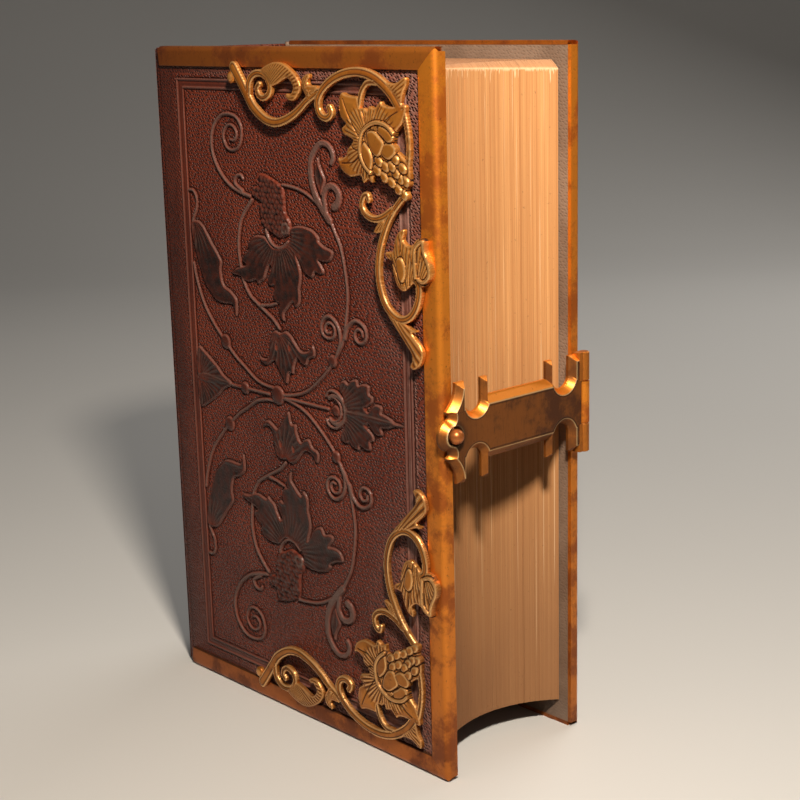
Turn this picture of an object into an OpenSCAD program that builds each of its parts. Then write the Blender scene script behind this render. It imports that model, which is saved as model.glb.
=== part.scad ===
// Antique book bound in embossed leather over boards, with brass rims, corner mounts and a fore-edge clasp.
// Millimetres: +X towards the fore-edge, -Y towards the front cover, +Z towards the head. The tail rims rest on z = 0.

/* [Covers] */
// Height of each cover
cover_height = 200; // [140:1:300]
// Width of each cover from its spine edge to its fore-edge
cover_width = 124; // [90:1:190]
// Thickness of the closed book over its two rims
book_thickness = 55; // [45:1:90]
// Thickness of one cover at its rim
cover_thickness = 3.8; // [3.2:0.1:6]
// Leather over the outer face of each board
leather_thickness = 0.7; // [0.4:0.1:1]
// Leather turned in on the inner face of each board, and the paper pasted level with it
turn_in_thickness = 0.4; // [0.2:0.1:0.7]
// Turned-in leather that shows round the pasted paper
turn_in_width = 13; // [6:1:30]
// How far the leather roll at the spine edge stands off each face of its cover
bead_swell = 0.05; // [0.02:0.01:0.1]
// How far the leather roll ends from the head and tail
bead_end = 0.4; // [0.2:0.1:2]

/* [Rims] */
// Width of the fore-edge rim on the outer face
rim_fore_width = 6.8; // [4:0.1:12]
// Width of the head and tail rims on the outer face
rim_end_width = 6; // [4:0.1:12]
// How far the rims stand above the leather
rim_proud = 1; // [0.6:0.1:1.4]
// Thickness of the rims along the edges of the board
rim_wall = 1.2; // [0.8:0.1:2]
// Rounding of the outer corner of the rims
rim_round = 1.6; // [0.5:0.1:2]
// Fall of the rims' outer face towards their inner edge
rim_fall = 0.3; // [0.1:0.05:0.4]
// Chamfer of the rims' inner edge
rim_lip = 0.35; // [0.1:0.05:0.5]
// Leather left bare at the spine edge before the head and tail rims start
rim_start = 3.2; // [3:0.1:8]

/* [Relief] */
// Height of the vine's stems over the leather
stem_height = 0.55; // [0.3:0.05:0.8]
// Height of the leaves over the leather
leaf_height = 0.4; // [0.2:0.05:0.7]
// Height of the grapes and beads over the leather
grape_height = 0.75; // [0.4:0.05:0.9]
// Width of the main stems
stem_width = 1.25; // [0.8:0.05:2]
// Width at the tips of the stems
stem_tip = 0.75; // [0.4:0.05:1.2]
// Width of the buds' wide strokes
bud_width = 2.1; // [1.2:0.1:3]
// Radius of one grape
grape_radius = 0.85; // [0.5:0.05:1.2]
// Radius of the beads on the stems
bead_radius = 1.8; // [1:0.1:3]
// Width of the fillet lines
fillet_width = 0.6; // [0.3:0.1:1]
// Height of the fillet lines over the leather
fillet_height = 0.3; // [0.2:0.05:0.6]

/* [Pages] */
// Cover that stands out above the pages at the head
page_square_head = 5.1; // [3:0.1:12]
// Cover that stands out below the pages at the tail
page_square_tail = 7.4; // [3:0.1:12]
// Cover that stands out beyond the pages at the fore-edge
page_square_fore = 4.5; // [2:0.1:10]
// Depth of the hollow in the fore-edge
fore_hollow = 8.7; // [2:0.1:14]
// Wear on the pages' edge between head and fore-edge
page_wear = 1.6; // [0.5:0.1:3]
// Gap between the pages and each cover
page_clearance = 0.3; // [0.2:0.05:0.6]

/* [Spine] */
// Rounding of the pages at the spine
spine_round = 8; // [4:0.5:14]
// Thickness of the leather over the spine
spine_leather_thickness = 1.6; // [1:0.1:2.5]
// Gap between the spine leather and the covers at the joint
joint_gap = 0.3; // [0.2:0.05:0.6]
// How far the spine leather ends from the level of head and tail
spine_end = 1; // [0.5:0.1:4]
// Raised bands across the spine
band_count = 4; // [2:1:6]
// Radius of a raised band's section
band_radius = 2; // [1.5:0.1:3]
// How far a raised band stands out of the spine
band_rise = 1.1; // [0.5:0.1:1.5]
// How far the centre of a raised band lies behind the spine's, which sinks its ends at the joints
band_set = 6; // [3:0.5:9]
// Width of the sewn bands at head and tail
endband_width = 2.6; // [1.5:0.1:4]
// Height of the sewn bands' straight part
endband_height = 1.5; // [1:0.1:3]

/* [Corner mounts] */
// Thickness of the mounts
mount_thickness = 1.6; // [1:0.1:2.5]
// Height of the rounded crown on the mounts
mount_crown = 0.6; // [0.2:0.1:0.9]
// Width of the shoulder round the crown
mount_shoulder = 0.4; // [0.2:0.05:0.6]
// Width of the mounts' stems
mount_stem_width = 2.5; // [1.8:0.1:3.5]
// Width at the tips of the mounts' stems
mount_tip_width = 1.7; // [1.2:0.1:2.5]
// Width of the veins cut into the mounts' crown
mount_vein_width = 0.5; // [0.3:0.05:0.8]
// Width of the ring round the corner flower's throat
mount_ring_width = 1.2; // [0.8:0.1:1.6]
// Height of that ring over the crown
mount_ring_rise = 0.4; // [0.2:0.1:0.8]
// Radius of the grapes on the mounts
mount_grape_radius = 1.15; // [0.8:0.05:1.5]
// Radius of the spigots that hold a mount
spigot_radius = 0.7; // [0.4:0.05:1]
// Length of the spigots below the mount
spigot_length = 2.6; // [2:0.1:3]
// Clearance round the spigots in leather and board
spigot_clearance = 0.05; // [0.02:0.01:0.1]

/* [Clasp] */
// Gap between the clasp plate and the fore-edge rims
clasp_stand = 0.6; // [0.3:0.1:1.5]
// Thickness of the clasp plate
clasp_thickness = 2.8; // [2:0.1:4]
// Thickness of the plate's edge under its bevel
clasp_edge = 0.8; // [0.4:0.1:1.2]
// Width of the bevel round the plate
clasp_bevel = 1.6; // [0.6:0.1:2]
// Width of the bevel along the plate's two long bays
bay_bevel = 2.2; // [0.6:0.1:3]
// Steps that make up the bevel
bevel_steps = 5; // [3:1:8]
// Half the height of the plate at its horns
horn_height = 13.8; // [12:0.1:18]
// Half the height of the plate's middle bar
bar_height = 8.7; // [7:0.1:11]
// Width of the horns beside the long bar
horn_width = 2.4; // [1.8:0.1:3]
// Radius of the notches at the stud end
notch_radius = 3.1; // [2:0.1:4]
// Radius of the notches at the hinge end
notch_far_radius = 3.5; // [2:0.1:4.5]
// Height of the notches' floors over the plate's middle line
notch_floor = 5; // [4:0.1:7]
// Distance from the stud to the middle of the nearer notches
notch_reach = 8.3; // [7.5:0.1:11]
// Plate left between the far notches and the hinge
hinge_land = 3.3; // [2:0.1:6]
// Radius of the lobe round the stud hole
lobe_radius = 4.5; // [3.5:0.1:6]
// Radius of the stud hole
stud_hole_radius = 2.5; // [2:0.1:3]
// Radius of the hollow curve below each end horn
ogee_radius = 8.1; // [6:0.1:11]
// Distance of that curve's centre in front of the stud
ogee_reach = 6.2; // [5:0.1:9]
// Height of that curve's centre over the plate's middle line
ogee_height = 13.2; // [11:0.1:17]
// Radius of the nick between the lobe and the end horn
nick_radius = 1; // [0.5:0.1:1.5]
// Radius of the ball on the catch stud
ball_radius = 2.1; // [1.4:0.1:2.4]
// Radius of the catch stud's neck
stud_neck_radius = 1.2; // [0.8:0.1:1.6]
// Distance from the rim to the middle of the ball
stud_reach = 3.6; // [2.5:0.1:5]

/* [Clasp hinge] */
// Radius of the hinge barrel
barrel_radius = 1.6; // [1.2:0.1:2]
// Distance from the rim to the hinge line
barrel_stand = 2.6; // [2.2:0.1:4]
// Distance of the hinge line inside the back face
barrel_inset = 1.4; // [1.2:0.1:2.5]
// Length of the whole barrel
barrel_length = 29; // [26:0.5:36]
// Length of the middle knuckle
knuckle_length = 12; // [8:0.5:16]
// Gap between the knuckles
knuckle_gap = 0.2; // [0.1:0.05:0.4]
// Radius of the hinge pin
pin_radius = 0.75; // [0.5:0.05:1]
// Running clearance of the pin in the clasp's knuckles
pin_clearance = 0.05; // [0.02:0.01:0.09]
// Thickness of the hinge leaf on the rim
leaf_thickness = 1.4; // [1.2:0.1:2]
// Width of the hinge leaf
leaf_width = 1.6; // [1.2:0.1:1.9]
// Gap between the clasp plate's end and the middle knuckle
plate_gap = 0.3; // [0.2:0.05:0.6]

/* [Hidden] */
$fn = 64;

// How far a cut runs past what it cuts
overrun = 1;
// Depth by which raised work is rooted in the leather
relief_root = 0.3;
// Spread that joins touching strokes of a drawing
stroke_spread = 0.04;
// Sides of the rounding that the spread gives a corner
spread_sides = 8;
// Straight pieces in each span of a drawn curve
curve_steps = 4;
// How many times the rim's width the mitre cuts reach
mitre_share = 2;

leather_face = rim_proud;
panel_thickness = cover_thickness - rim_proud;
roll_radius = panel_thickness / 2 + bead_swell;
roll_depth = leather_face + panel_thickness / 2;
panel_fore = cover_width - rim_wall;
panel_height = cover_height - 2 * rim_wall;
board_start = 2 * roll_radius;
board_width = panel_fore - leather_thickness - board_start;
board_foot = rim_wall + leather_thickness;
board_height = cover_height - 2 * board_foot;
board_face = leather_face + leather_thickness;
board_thickness = panel_thickness - leather_thickness - turn_in_thickness;
paper_width = panel_fore - turn_in_width - (board_start + turn_in_width);
paper_height = cover_height - 2 * (rim_wall + turn_in_width);

page_front = cover_thickness + page_clearance;
page_depth = book_thickness - 2 * page_front;
page_foot = page_square_tail;
page_top = cover_height - page_square_head;
page_fore = cover_width - page_square_fore;
page_middle = book_thickness / 2;
spine_chord = -joint_gap;
spine_radius = (page_depth * page_depth / 4 + spine_round * spine_round) / (2 * spine_round);
spine_centre = spine_chord - spine_round + spine_radius;
spine_outer = spine_radius + spine_leather_thickness;
spine_height = cover_height - 2 * spine_end;
fore_radius = (page_depth * page_depth / 4 + fore_hollow * fore_hollow) / (2 * fore_hollow);
fore_centre = page_fore - fore_hollow + fore_radius;

stud_inset = cover_thickness / 2;
clasp_middle = cover_height / 2;
hinge_x = cover_width + barrel_stand;
hinge_y = book_thickness - barrel_inset;
clasp_end = hinge_y - barrel_radius - plate_gap;
notch_near = stud_inset + notch_reach;
notch_far = clasp_end - hinge_land - notch_far_radius;
bay_start = notch_near + notch_radius + horn_width;
bay_end = notch_far - notch_far_radius - horn_width;

box_back = spine_centre - spine_outer - band_rise;
box_fore = cover_width + max(stud_reach + ball_radius, clasp_stand + clasp_thickness, barrel_stand + barrel_radius);
box_front = -max(mount_thickness, lobe_radius - stud_inset);
box_rear = max(book_thickness, hinge_y + barrel_radius);

// The frontal view of the cover in pixels: what the drawn outlines are measured in
view_left = 32;
view_foot = 1632;
view_width = 992;
view_height = 1600;
view_axis = 836;

main_stem_pixels = [[512, 338], [595, 352], [668, 397], [713, 475], [727, 559], [719, 626], [690, 699], [629, 766], [556, 816], [470, 834]];
inward_scroll_pixels = [[685, 705], [697, 660], [676, 628], [645, 627], [632, 652], [646, 673], [672, 669], [680, 650], [663, 637], [647, 650], [656, 662]];
outward_scroll_pixels = [[707, 675], [721, 643], [752, 621], [782, 634], [782, 661], [758, 670], [747, 653], [760, 638], [773, 650]];
head_scroll_pixels = [[391, 372], [324, 355], [271, 313], [250, 251], [274, 201], [330, 185], [369, 215], [358, 257], [316, 266], [299, 232], [327, 209], [350, 234], [326, 245]];
head_hook_pixels = [[362, 361], [336, 347], [345, 327], [364, 330]];
inner_stem_pixels = [[397, 380], [352, 430], [337, 498], [346, 560], [374, 607], [434, 641], [481, 676]];
leaf_stalk_pixels = [[417, 628], [447, 623], [473, 612]];
bud_back_pixels = [[672, 404], [630, 355], [615, 302], [629, 258], [661, 239], [690, 254], [688, 280]];
bud_curl_pixels = [[662, 390], [659, 355], [679, 331], [706, 342], [695, 372]];
bud_leaf_pixels = [[644, 265], [650, 290], [665, 320], [650, 358], [632, 318], [634, 288]];
side_arc_pixels = [[447, 822], [380, 809], [307, 766], [246, 716], [193, 658], [159, 582], [150, 545]];
side_curl_pixels = [[150, 374], [172, 378], [178, 402], [160, 442]];
rib_left_pixels = [[440, 838], [285, 838]];
rib_right_pixels = [[475, 838], [655, 838]];
cup_pixels = [[652, 812], [672, 804], [698, 812], [708, 838]];

grape_leaf_pixels = [[535, 440], [573, 427], [637, 451], [681, 474], [667, 498], [634, 499], [649, 526], [618, 526], [608, 541], [579, 529], [556, 497],
    [567, 545], [558, 605], [543, 617], [536, 603], [499, 637], [503, 657], [485, 638], [484, 614], [463, 596], [469, 574], [453, 576], [445, 561], [460, 533],
    [441, 543], [417, 570], [404, 577], [398, 568], [356, 573], [306, 562], [341, 543], [364, 536], [351, 525], [379, 496], [374, 487], [400, 464], [444, 464], [476, 485], [523, 473]];
grape_bunch_pixels = [[429, 316], [476, 326], [514, 344], [521, 400], [540, 430], [517, 462], [480, 470], [444, 441], [429, 411], [427, 381], [402, 366], [404, 349], [429, 342]];
grape_pixels = [[436, 328], [456, 332], [478, 340], [501, 350], [414, 358], [438, 352], [462, 354], [486, 362], [508, 372], [446, 374], [470, 378], [494, 386], [513, 396], [440, 396], [462, 402], [484, 410], [508, 420], [448, 422], [470, 430], [492, 438]];
small_leaf_pixels = [[441, 717], [450, 690], [466, 679], [484, 684], [504, 676], [525, 688], [556, 717], [578, 716], [598, 694], [607, 712], [590, 730], [573, 748], [545, 737], [529, 756], [527, 775], [510, 775], [500, 804], [476, 775], [450, 755], [425, 768], [403, 760], [396, 744], [426, 752], [440, 740]];
side_leaf_pixels = [[150, 452], [175, 444], [200, 456], [234, 498], [264, 535], [262, 560], [274, 594], [300, 606], [321, 628], [316, 668], [302, 638], [258, 640], [223, 621], [192, 585], [164, 518]];
half_flower_pixels = [[150, 764], [182, 772], [228, 800], [258, 824], [290, 838], [150, 838]];
palm_leaf_pixels = [[700, 838], [700, 800], [690, 785], [694, 767], [709, 762], [719, 769], [731, 758], [751, 755], [755, 767], [790, 762], [789, 780], [803, 786], [797, 801], [779, 813], [784, 824], [811, 801], [832, 805], [828, 818], [858, 826], [900, 838]];
knot_pixels = [[434, 838], [437, 822], [452, 812], [470, 812], [485, 821], [490, 838]];
bead_pixels = [[670, 727], [271, 733]];
rib_bead_pixels = [337, 838];
outer_fillet_pixels = [[120, 109], [928, 1555]];
inner_fillet_pixels = [[143, 128], [904, 1536]];

mount_stem_pixels = [[366, 82], [392, 110], [433, 163], [487, 195], [547, 192], [603, 165], [672, 126]];
mount_ball_pixels = [360, 97];
mount_coil_pixels = [[420, 142], [424, 113], [446, 92], [478, 93], [498, 116], [492, 138], [470, 143], [456, 128], [468, 115]];
mount_hood_pixels = [[470, 84], [500, 70], [530, 65], [566, 75], [597, 95], [609, 119], [594, 141], [568, 149], [554, 139], [574, 133], [580, 116], [564, 103], [540, 106], [508, 118]];
mount_spur_pixels = [[613, 115], [619, 98], [637, 89], [641, 98], [635, 107], [664, 114], [650, 140], [632, 150], [624, 134]];
mount_hook_pixels = [[702, 162], [706, 176], [684, 181], [665, 165], [667, 140], [688, 116]];
mount_bough_pixels = [[672, 132], [709, 103], [760, 85], [808, 82], [858, 96], [905, 128], [938, 168], [952, 215], [950, 262], [936, 302]];
mount_stalk_pixels = [[802, 150], [812, 120], [836, 104], [868, 108]];
mount_wing_pixels = [[880, 104], [916, 105], [945, 92], [950, 107], [936, 130], [928, 150]];
mount_leaf_pixels = [[739, 150], [748, 127], [784, 134], [803, 150], [822, 156], [834, 152], [852, 157], [870, 141], [880, 150], [926, 149], [946, 148], [946, 165], [930, 190], [905, 206], [898, 232], [846, 298], [826, 306], [810, 315], [800, 297], [768, 304], [738, 290], [730, 264], [761, 250], [775, 234], [745, 212], [746, 199], [758, 190], [741, 175]];
mount_grape_pixels = [[836, 262], [870, 240], [915, 240], [948, 262], [956, 296], [944, 338], [928, 340], [896, 320], [862, 302]];
mount_berry_pixels = [[858, 283], [874, 266], [880, 300], [893, 280], [900, 307], [912, 292], [930, 299], [918, 318], [936, 280], [933, 331], [902, 258], [922, 262]];
mount_scroll_pixels = [[930, 338], [890, 377], [858, 433], [846, 497], [858, 555], [893, 590], [940, 588], [968, 548], [962, 508]];
mount_side_hook_pixels = [[897, 368], [852, 388], [812, 381], [801, 357], [816, 341]];
mount_flower_pixels = [[874, 456], [896, 452], [905, 428], [930, 402], [936, 412], [928, 427], [945, 438], [969, 422], [993, 418], [996, 442], [1015, 486], [1006, 505], [993, 517], [970, 512], [945, 526], [922, 532], [903, 516], [892, 476]];
mount_tail_pixels = [[868, 586], [943, 661], [938, 695], [956, 700], [976, 684], [980, 656], [950, 622], [966, 615], [930, 600]];
mount_vein_pixels = [
    [[806, 226], [776, 184], [752, 140]], [[818, 206], [822, 182], [812, 158]], [[836, 192], [852, 176], [868, 150]], [[876, 186], [905, 172], [940, 156]],
    [[800, 244], [778, 240], [748, 206]], [[800, 258], [778, 272], [738, 278]], [[812, 276], [806, 290], [812, 310]],
    [[938, 524], [930, 480], [916, 424]], [[968, 506], [966, 470], [968, 428]], [[986, 510], [990, 470], [984, 428]]];
mount_ring_pixels = [[838, 294], [814, 272], [805, 246], [815, 214], [840, 194], [868, 188], [894, 199], [910, 220]];
mount_spigot_pixels = [[517, 197], [845, 225], [847, 500]];

leather_colour = [0.27, 0.11, 0.08];
brass_colour = [0.66, 0.43, 0.16];
plate_colour = [0.4, 0.22, 0.1];
paper_colour = [0.86, 0.6, 0.38];
board_colour = [0.5, 0.42, 0.33];
thread_colour = [0.7, 0.55, 0.35];

// Drawn curves
function from_view(p) = [(p[0] - view_left) * cover_width / view_width, (view_foot - p[1]) * cover_height / view_height];
function from_views(list) = [for (p = list) from_view(p)];
function point(list, i) = list[max(0, min(len(list) - 1, i))];
function blend(a, b, c, d, t) = ((2 * b) + (c - a) * t + (2 * a - 5 * b + 4 * c - d) * t * t + (3 * b - a - 3 * c + d) * t * t * t) / 2;
function smooth(p) = concat(
    [for (i = [0 : len(p) - 2]) for (j = [0 : curve_steps - 1]) blend(point(p, i - 1), p[i], p[i + 1], point(p, i + 2), j / curve_steps)],
    [p[len(p) - 1]]);
function aside(p, i, far) = let (d = point(p, i + 1) - point(p, i - 1)) p[i] + [-d[1], d[0]] / norm(d) * far;
function taper(p, i, w0, w1) = (w0 + (w1 - w0) * i / (len(p) - 1)) / 2;
function ribbon(p, w0, w1) = concat(
    [for (i = [0 : len(p) - 1]) aside(p, i, taper(p, i, w0, w1))],
    [for (i = [len(p) - 1 : -1 : 0]) aside(p, i, -taper(p, i, w0, w1))]);

module stroke(pixels, w0, w1) polygon(ribbon(smooth(from_views(pixels)), w0, w1));
module shape(pixels) polygon(from_views(pixels));
module dots(pixels, r) for (p = pixels) translate(from_view(p)) circle(r = r, $fn = 14);

// The two halves of the vine mirror each other about its middle line
module both_halves() {
    children();
    translate([0, 2 * from_view([0, view_axis])[1]]) mirror([0, 1]) children();
}

// A drawing on the front cover, raised over the leather or over the rims
module raised(height) translate([0, leather_face + relief_root, 0]) rotate([90, 0, 0])
    linear_extrude(height + relief_root) offset(delta = stroke_spread) children();

// Moves everything so that the middle of the book's box is over the origin
module placed() translate([-(box_back + box_fore) / 2, -(box_front + box_rear) / 2, 0]) children();
module on_back() translate([0, book_thickness, 0]) mirror([0, 1, 0]) children();
module at_tail() translate([0, 0, cover_height]) mirror([0, 0, 1]) children();

module vine_stems() {
    both_halves() {
        stroke(main_stem_pixels, stem_width, stem_width);
        stroke(inward_scroll_pixels, stem_width, stem_tip);
        stroke(outward_scroll_pixels, stem_width, stem_tip);
        stroke(head_scroll_pixels, stem_width, stem_tip);
        stroke(head_hook_pixels, stem_width, stem_tip);
        stroke(inner_stem_pixels, stem_width, stem_width);
        stroke(leaf_stalk_pixels, stem_width, stem_tip);
        stroke(bud_back_pixels, bud_width, stem_width);
        stroke(bud_curl_pixels, stem_width, bud_width);
        stroke(side_arc_pixels, stem_width, stem_width);
        stroke(side_curl_pixels, stem_width, stem_width);
        stroke(cup_pixels, stem_width, bud_width);
    }
    stroke(rib_left_pixels, stem_width, stem_width);
    stroke(rib_right_pixels, stem_width, stem_width);
}

module vine_leaves() both_halves() {
    shape(grape_leaf_pixels);
    shape(grape_bunch_pixels);
    shape(small_leaf_pixels);
    shape(side_leaf_pixels);
    shape(half_flower_pixels);
    shape(palm_leaf_pixels);
    shape(bud_leaf_pixels);
}

module vine_grapes() {
    both_halves() {
        dots(grape_pixels, grape_radius);
        dots(bead_pixels, bead_radius);
        shape(knot_pixels);
    }
    dots([rib_bead_pixels], bead_radius);
}

module fillet(corners) {
    low = from_view([corners[0][0], corners[1][1]]);
    high = from_view([corners[1][0], corners[0][1]]);
    difference() {
        translate(low) square(high - low);
        translate(low + [fillet_width, fillet_width]) square(high - low - 2 * [fillet_width, fillet_width]);
    }
}

module fillets() {
    fillet(outer_fillet_pixels);
    fillet(inner_fillet_pixels);
}

// One cover, outer face at y = 0 and spine edge at x = 0
module cover_board() translate([board_start, board_face, board_foot]) cube([board_width, board_thickness, board_height]);

module cover_paper() translate([board_start + turn_in_width, board_face + board_thickness, rim_wall + turn_in_width])
    cube([paper_width, turn_in_thickness, paper_height]);

module cover_leather() difference() {
    union() {
        translate([roll_radius, leather_face, rim_wall]) cube([panel_fore - roll_radius, panel_thickness, panel_height]);
        translate([roll_radius, roll_depth, bead_end]) cylinder(r = roll_radius, h = cover_height - 2 * bead_end);
    }
    cover_board();
    cover_paper();
}

module rim_profile(width) difference() {
    polygon([[0, 0], [width - rim_lip, rim_fall], [width, rim_fall + rim_lip], [width, rim_proud], [rim_wall, rim_proud], [rim_wall, cover_thickness], [0, cover_thickness]]);
    difference() {
        translate([-overrun, -overrun]) square(rim_round + overrun);
        translate([rim_round, rim_round]) circle(r = rim_round);
    }
}

// The mitre at the head's fore-edge corner: what lies on the head's side of it, and on the fore-edge's side
module mitre_cut(points) translate([cover_width, cover_thickness + overrun, cover_height]) rotate([90, 0, 0])
    linear_extrude(cover_thickness + 2 * overrun) mirror([1, 0]) mirror([0, 1]) polygon(points);
module head_side() mitre_cut([[0, 0], [0, -overrun], [mitre_share * rim_fore_width, -overrun], [mitre_share * rim_fore_width, mitre_share * rim_end_width]]);
module fore_side() mitre_cut([[0, 0], [-overrun, 0], [-overrun, mitre_share * rim_end_width], [mitre_share * rim_fore_width, mitre_share * rim_end_width]]);

module rim_fore() difference() {
    translate([cover_width, 0, 0]) mirror([1, 0, 0]) linear_extrude(cover_height) rim_profile(rim_fore_width);
    head_side();
    at_tail() head_side();
}

module rim_head() difference() {
    translate([rim_start, 0, cover_height]) rotate([0, 90, 0]) linear_extrude(cover_width - rim_start) rim_profile(rim_end_width);
    fore_side();
}

// Text block
module page_outline() difference() {
    union() {
        translate([spine_chord, page_front]) square([page_fore - spine_chord, page_depth]);
        intersection() {
            translate([spine_centre, page_middle]) circle(r = spine_radius);
            translate([spine_chord - spine_round - overrun, page_front]) square([spine_round + 2 * overrun, page_depth]);
        }
    }
    translate([fore_centre, page_middle]) circle(r = fore_radius);
}

module pages() color(paper_colour) placed() difference() {
    translate([0, 0, page_foot]) linear_extrude(page_top - page_foot) page_outline();
    translate([fore_centre, page_middle, page_top - page_wear])
        cylinder(r1 = fore_radius, r2 = fore_radius + page_wear + overrun, h = page_wear + overrun);
}

// What lies behind the plane where the covers' joints start
module behind_joint() translate([box_back - overrun, 0, 0]) cube([spine_chord - box_back + overrun, book_thickness, cover_height]);

module spine_leather() color(leather_colour) placed() difference() {
    intersection() {
        translate([spine_centre, page_middle, spine_end]) {
            cylinder(r = spine_outer, h = spine_height);
            for (i = [1 : band_count]) translate([-band_set, 0, i * spine_height / (band_count + 1)]) rotate_extrude()
                translate([spine_outer + band_rise - band_set - band_radius, 0]) circle(r = band_radius);
        }
        behind_joint();
    }
    translate([spine_centre, page_middle, 0]) cylinder(r = spine_radius, h = cover_height);
}

module endband(level) intersection() {
    straight = max(endband_height, endband_width / 2);
    translate([spine_centre, page_middle, level]) rotate_extrude() {
        translate([spine_radius - endband_width, 0]) square([endband_width, straight]);
        translate([spine_radius - endband_width / 2, straight]) circle(d = endband_width);
    }
    behind_joint();
}

module head_band() color(thread_colour) placed() endband(page_top);
module tail_band() color(thread_colour) placed() at_tail() endband(cover_height - page_foot);

// Front cover
module spigots(grow) for (p = from_views(mount_spigot_pixels)) translate([p[0], -relief_root, p[1]]) rotate([-90, 0, 0])
    cylinder(r = spigot_radius + grow, h = spigot_length + relief_root);

module spigot_holes() {
    spigots(spigot_clearance);
    at_tail() spigots(spigot_clearance);
}

module front_board() color(board_colour) placed() difference() {
    cover_board();
    spigot_holes();
}

module front_leather() color(leather_colour) placed() difference() {
    union() {
        cover_leather();
        raised(stem_height) vine_stems();
        raised(leaf_height) vine_leaves();
        raised(grape_height) vine_grapes();
        raised(fillet_height) fillets();
    }
    spigot_holes();
    cover_board();
}

module front_pastedown() color(paper_colour) placed() cover_paper();
module front_rim_head() color(brass_colour) placed() rim_head();
module front_rim_fore() color(brass_colour) placed() rim_fore();
module front_rim_tail() color(brass_colour) placed() at_tail() rim_head();

module mount_outline() {
    stroke(mount_stem_pixels, mount_stem_width, mount_tip_width);
    dots([mount_ball_pixels], mount_tip_width);
    stroke(mount_coil_pixels, mount_stem_width, mount_tip_width);
    shape(mount_hood_pixels);
    shape(mount_spur_pixels);
    stroke(mount_hook_pixels, mount_tip_width, mount_stem_width);
    stroke(mount_bough_pixels, mount_stem_width, mount_tip_width);
    stroke(mount_stalk_pixels, mount_tip_width, mount_tip_width);
    shape(mount_wing_pixels);
    shape(mount_leaf_pixels);
    shape(mount_grape_pixels);
    stroke(mount_scroll_pixels, mount_tip_width, mount_stem_width);
    stroke(mount_side_hook_pixels, mount_stem_width, mount_tip_width);
    shape(mount_flower_pixels);
    shape(mount_tail_pixels);
}

module corner_mount() {
    rotate([90, 0, 0]) linear_extrude(mount_thickness - mount_crown) offset(r = stroke_spread, $fn = spread_sides) mount_outline();
    translate([0, relief_root + mount_crown - mount_thickness, 0]) rotate([90, 0, 0]) linear_extrude(relief_root + mount_crown) difference() {
        offset(delta = -mount_shoulder) mount_outline();
        for (vein = mount_vein_pixels) stroke(vein, mount_vein_width, mount_vein_width);
    }
    translate([0, relief_root - mount_thickness + mount_crown, 0]) rotate([90, 0, 0]) linear_extrude(relief_root + mount_crown + mount_ring_rise)
        stroke(mount_ring_pixels, mount_ring_width, mount_ring_width);
    for (p = from_views(mount_berry_pixels)) translate([p[0], -mount_thickness + relief_root, p[1]]) sphere(r = mount_grape_radius);
    spigots(0);
}

module corner_mount_head() color(brass_colour) placed() corner_mount();
module corner_mount_tail() color(brass_colour) placed() at_tail() corner_mount();

module catch_stud() color(brass_colour) placed() translate([cover_width, stud_inset, clasp_middle]) {
    rotate([0, 90, 0]) cylinder(r = stud_neck_radius, h = stud_reach);
    translate([stud_reach, 0, 0]) sphere(r = ball_radius);
}

// Back cover
module back_board() color(board_colour) placed() on_back() cover_board();
module back_leather() color(leather_colour) placed() on_back() difference() {
    union() {
        cover_leather();
        raised(fillet_height) fillets();
    }
    cover_board();
}
module back_pastedown() color(paper_colour) placed() on_back() cover_paper();
module back_rim_head() color(brass_colour) placed() on_back() rim_head();
module back_rim_fore() color(brass_colour) placed() on_back() rim_fore();
module back_rim_tail() color(brass_colour) placed() on_back() at_tail() rim_head();

module knuckle(low, length, bore) translate([hinge_x, hinge_y, clasp_middle + low]) difference() {
    cylinder(r = barrel_radius, h = length);
    translate([0, 0, -overrun]) cylinder(r = bore, h = length + 2 * overrun);
}

module hinge_leaf() color(brass_colour) placed() difference() {
    union() {
        translate([cover_width, hinge_y - leaf_width, clasp_middle - knuckle_length / 2]) cube([leaf_thickness, leaf_width, knuckle_length]);
        knuckle(-knuckle_length / 2, knuckle_length, pin_radius);
    }
    translate([hinge_x, hinge_y, clasp_middle - knuckle_length]) cylinder(r = pin_radius, h = 2 * knuckle_length);
}

module hinge_pin() color(brass_colour) placed() translate([hinge_x, hinge_y, clasp_middle - barrel_length / 2]) cylinder(r = pin_radius, h = barrel_length);

// Clasp: the plate's outline, y across the fore-edge and z about the plate's middle line
module clasp_outline(bay_drop = 0) {
    $fn = 28;
    bulge = stud_inset - ogee_reach + sqrt(ogee_radius * ogee_radius - pow(ogee_height - (lobe_radius + 2 * nick_radius), 2));
    difference() {
        union() {
            translate([bulge, -horn_height]) square([clasp_end - bulge, 2 * horn_height]);
            translate([stud_inset, 0]) circle(r = lobe_radius);
        }
        for (side = [0, 1]) mirror([0, side]) {
            translate([stud_inset - ogee_reach, ogee_height]) circle(r = ogee_radius);
            translate([bulge, lobe_radius + nick_radius / 2]) circle(r = nick_radius);
            translate([notch_near, notch_floor + notch_radius]) {
                circle(r = notch_radius);
                translate([-notch_radius, 0]) square([2 * notch_radius, horn_height]);
            }
            translate([notch_far, notch_floor + notch_far_radius]) {
                circle(r = notch_far_radius);
                translate([-notch_far_radius, 0]) square([2 * notch_far_radius, horn_height]);
            }
            translate([bay_start, bar_height - bay_drop]) square([bay_end - bay_start, horn_height]);
        }
    }
}

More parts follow.
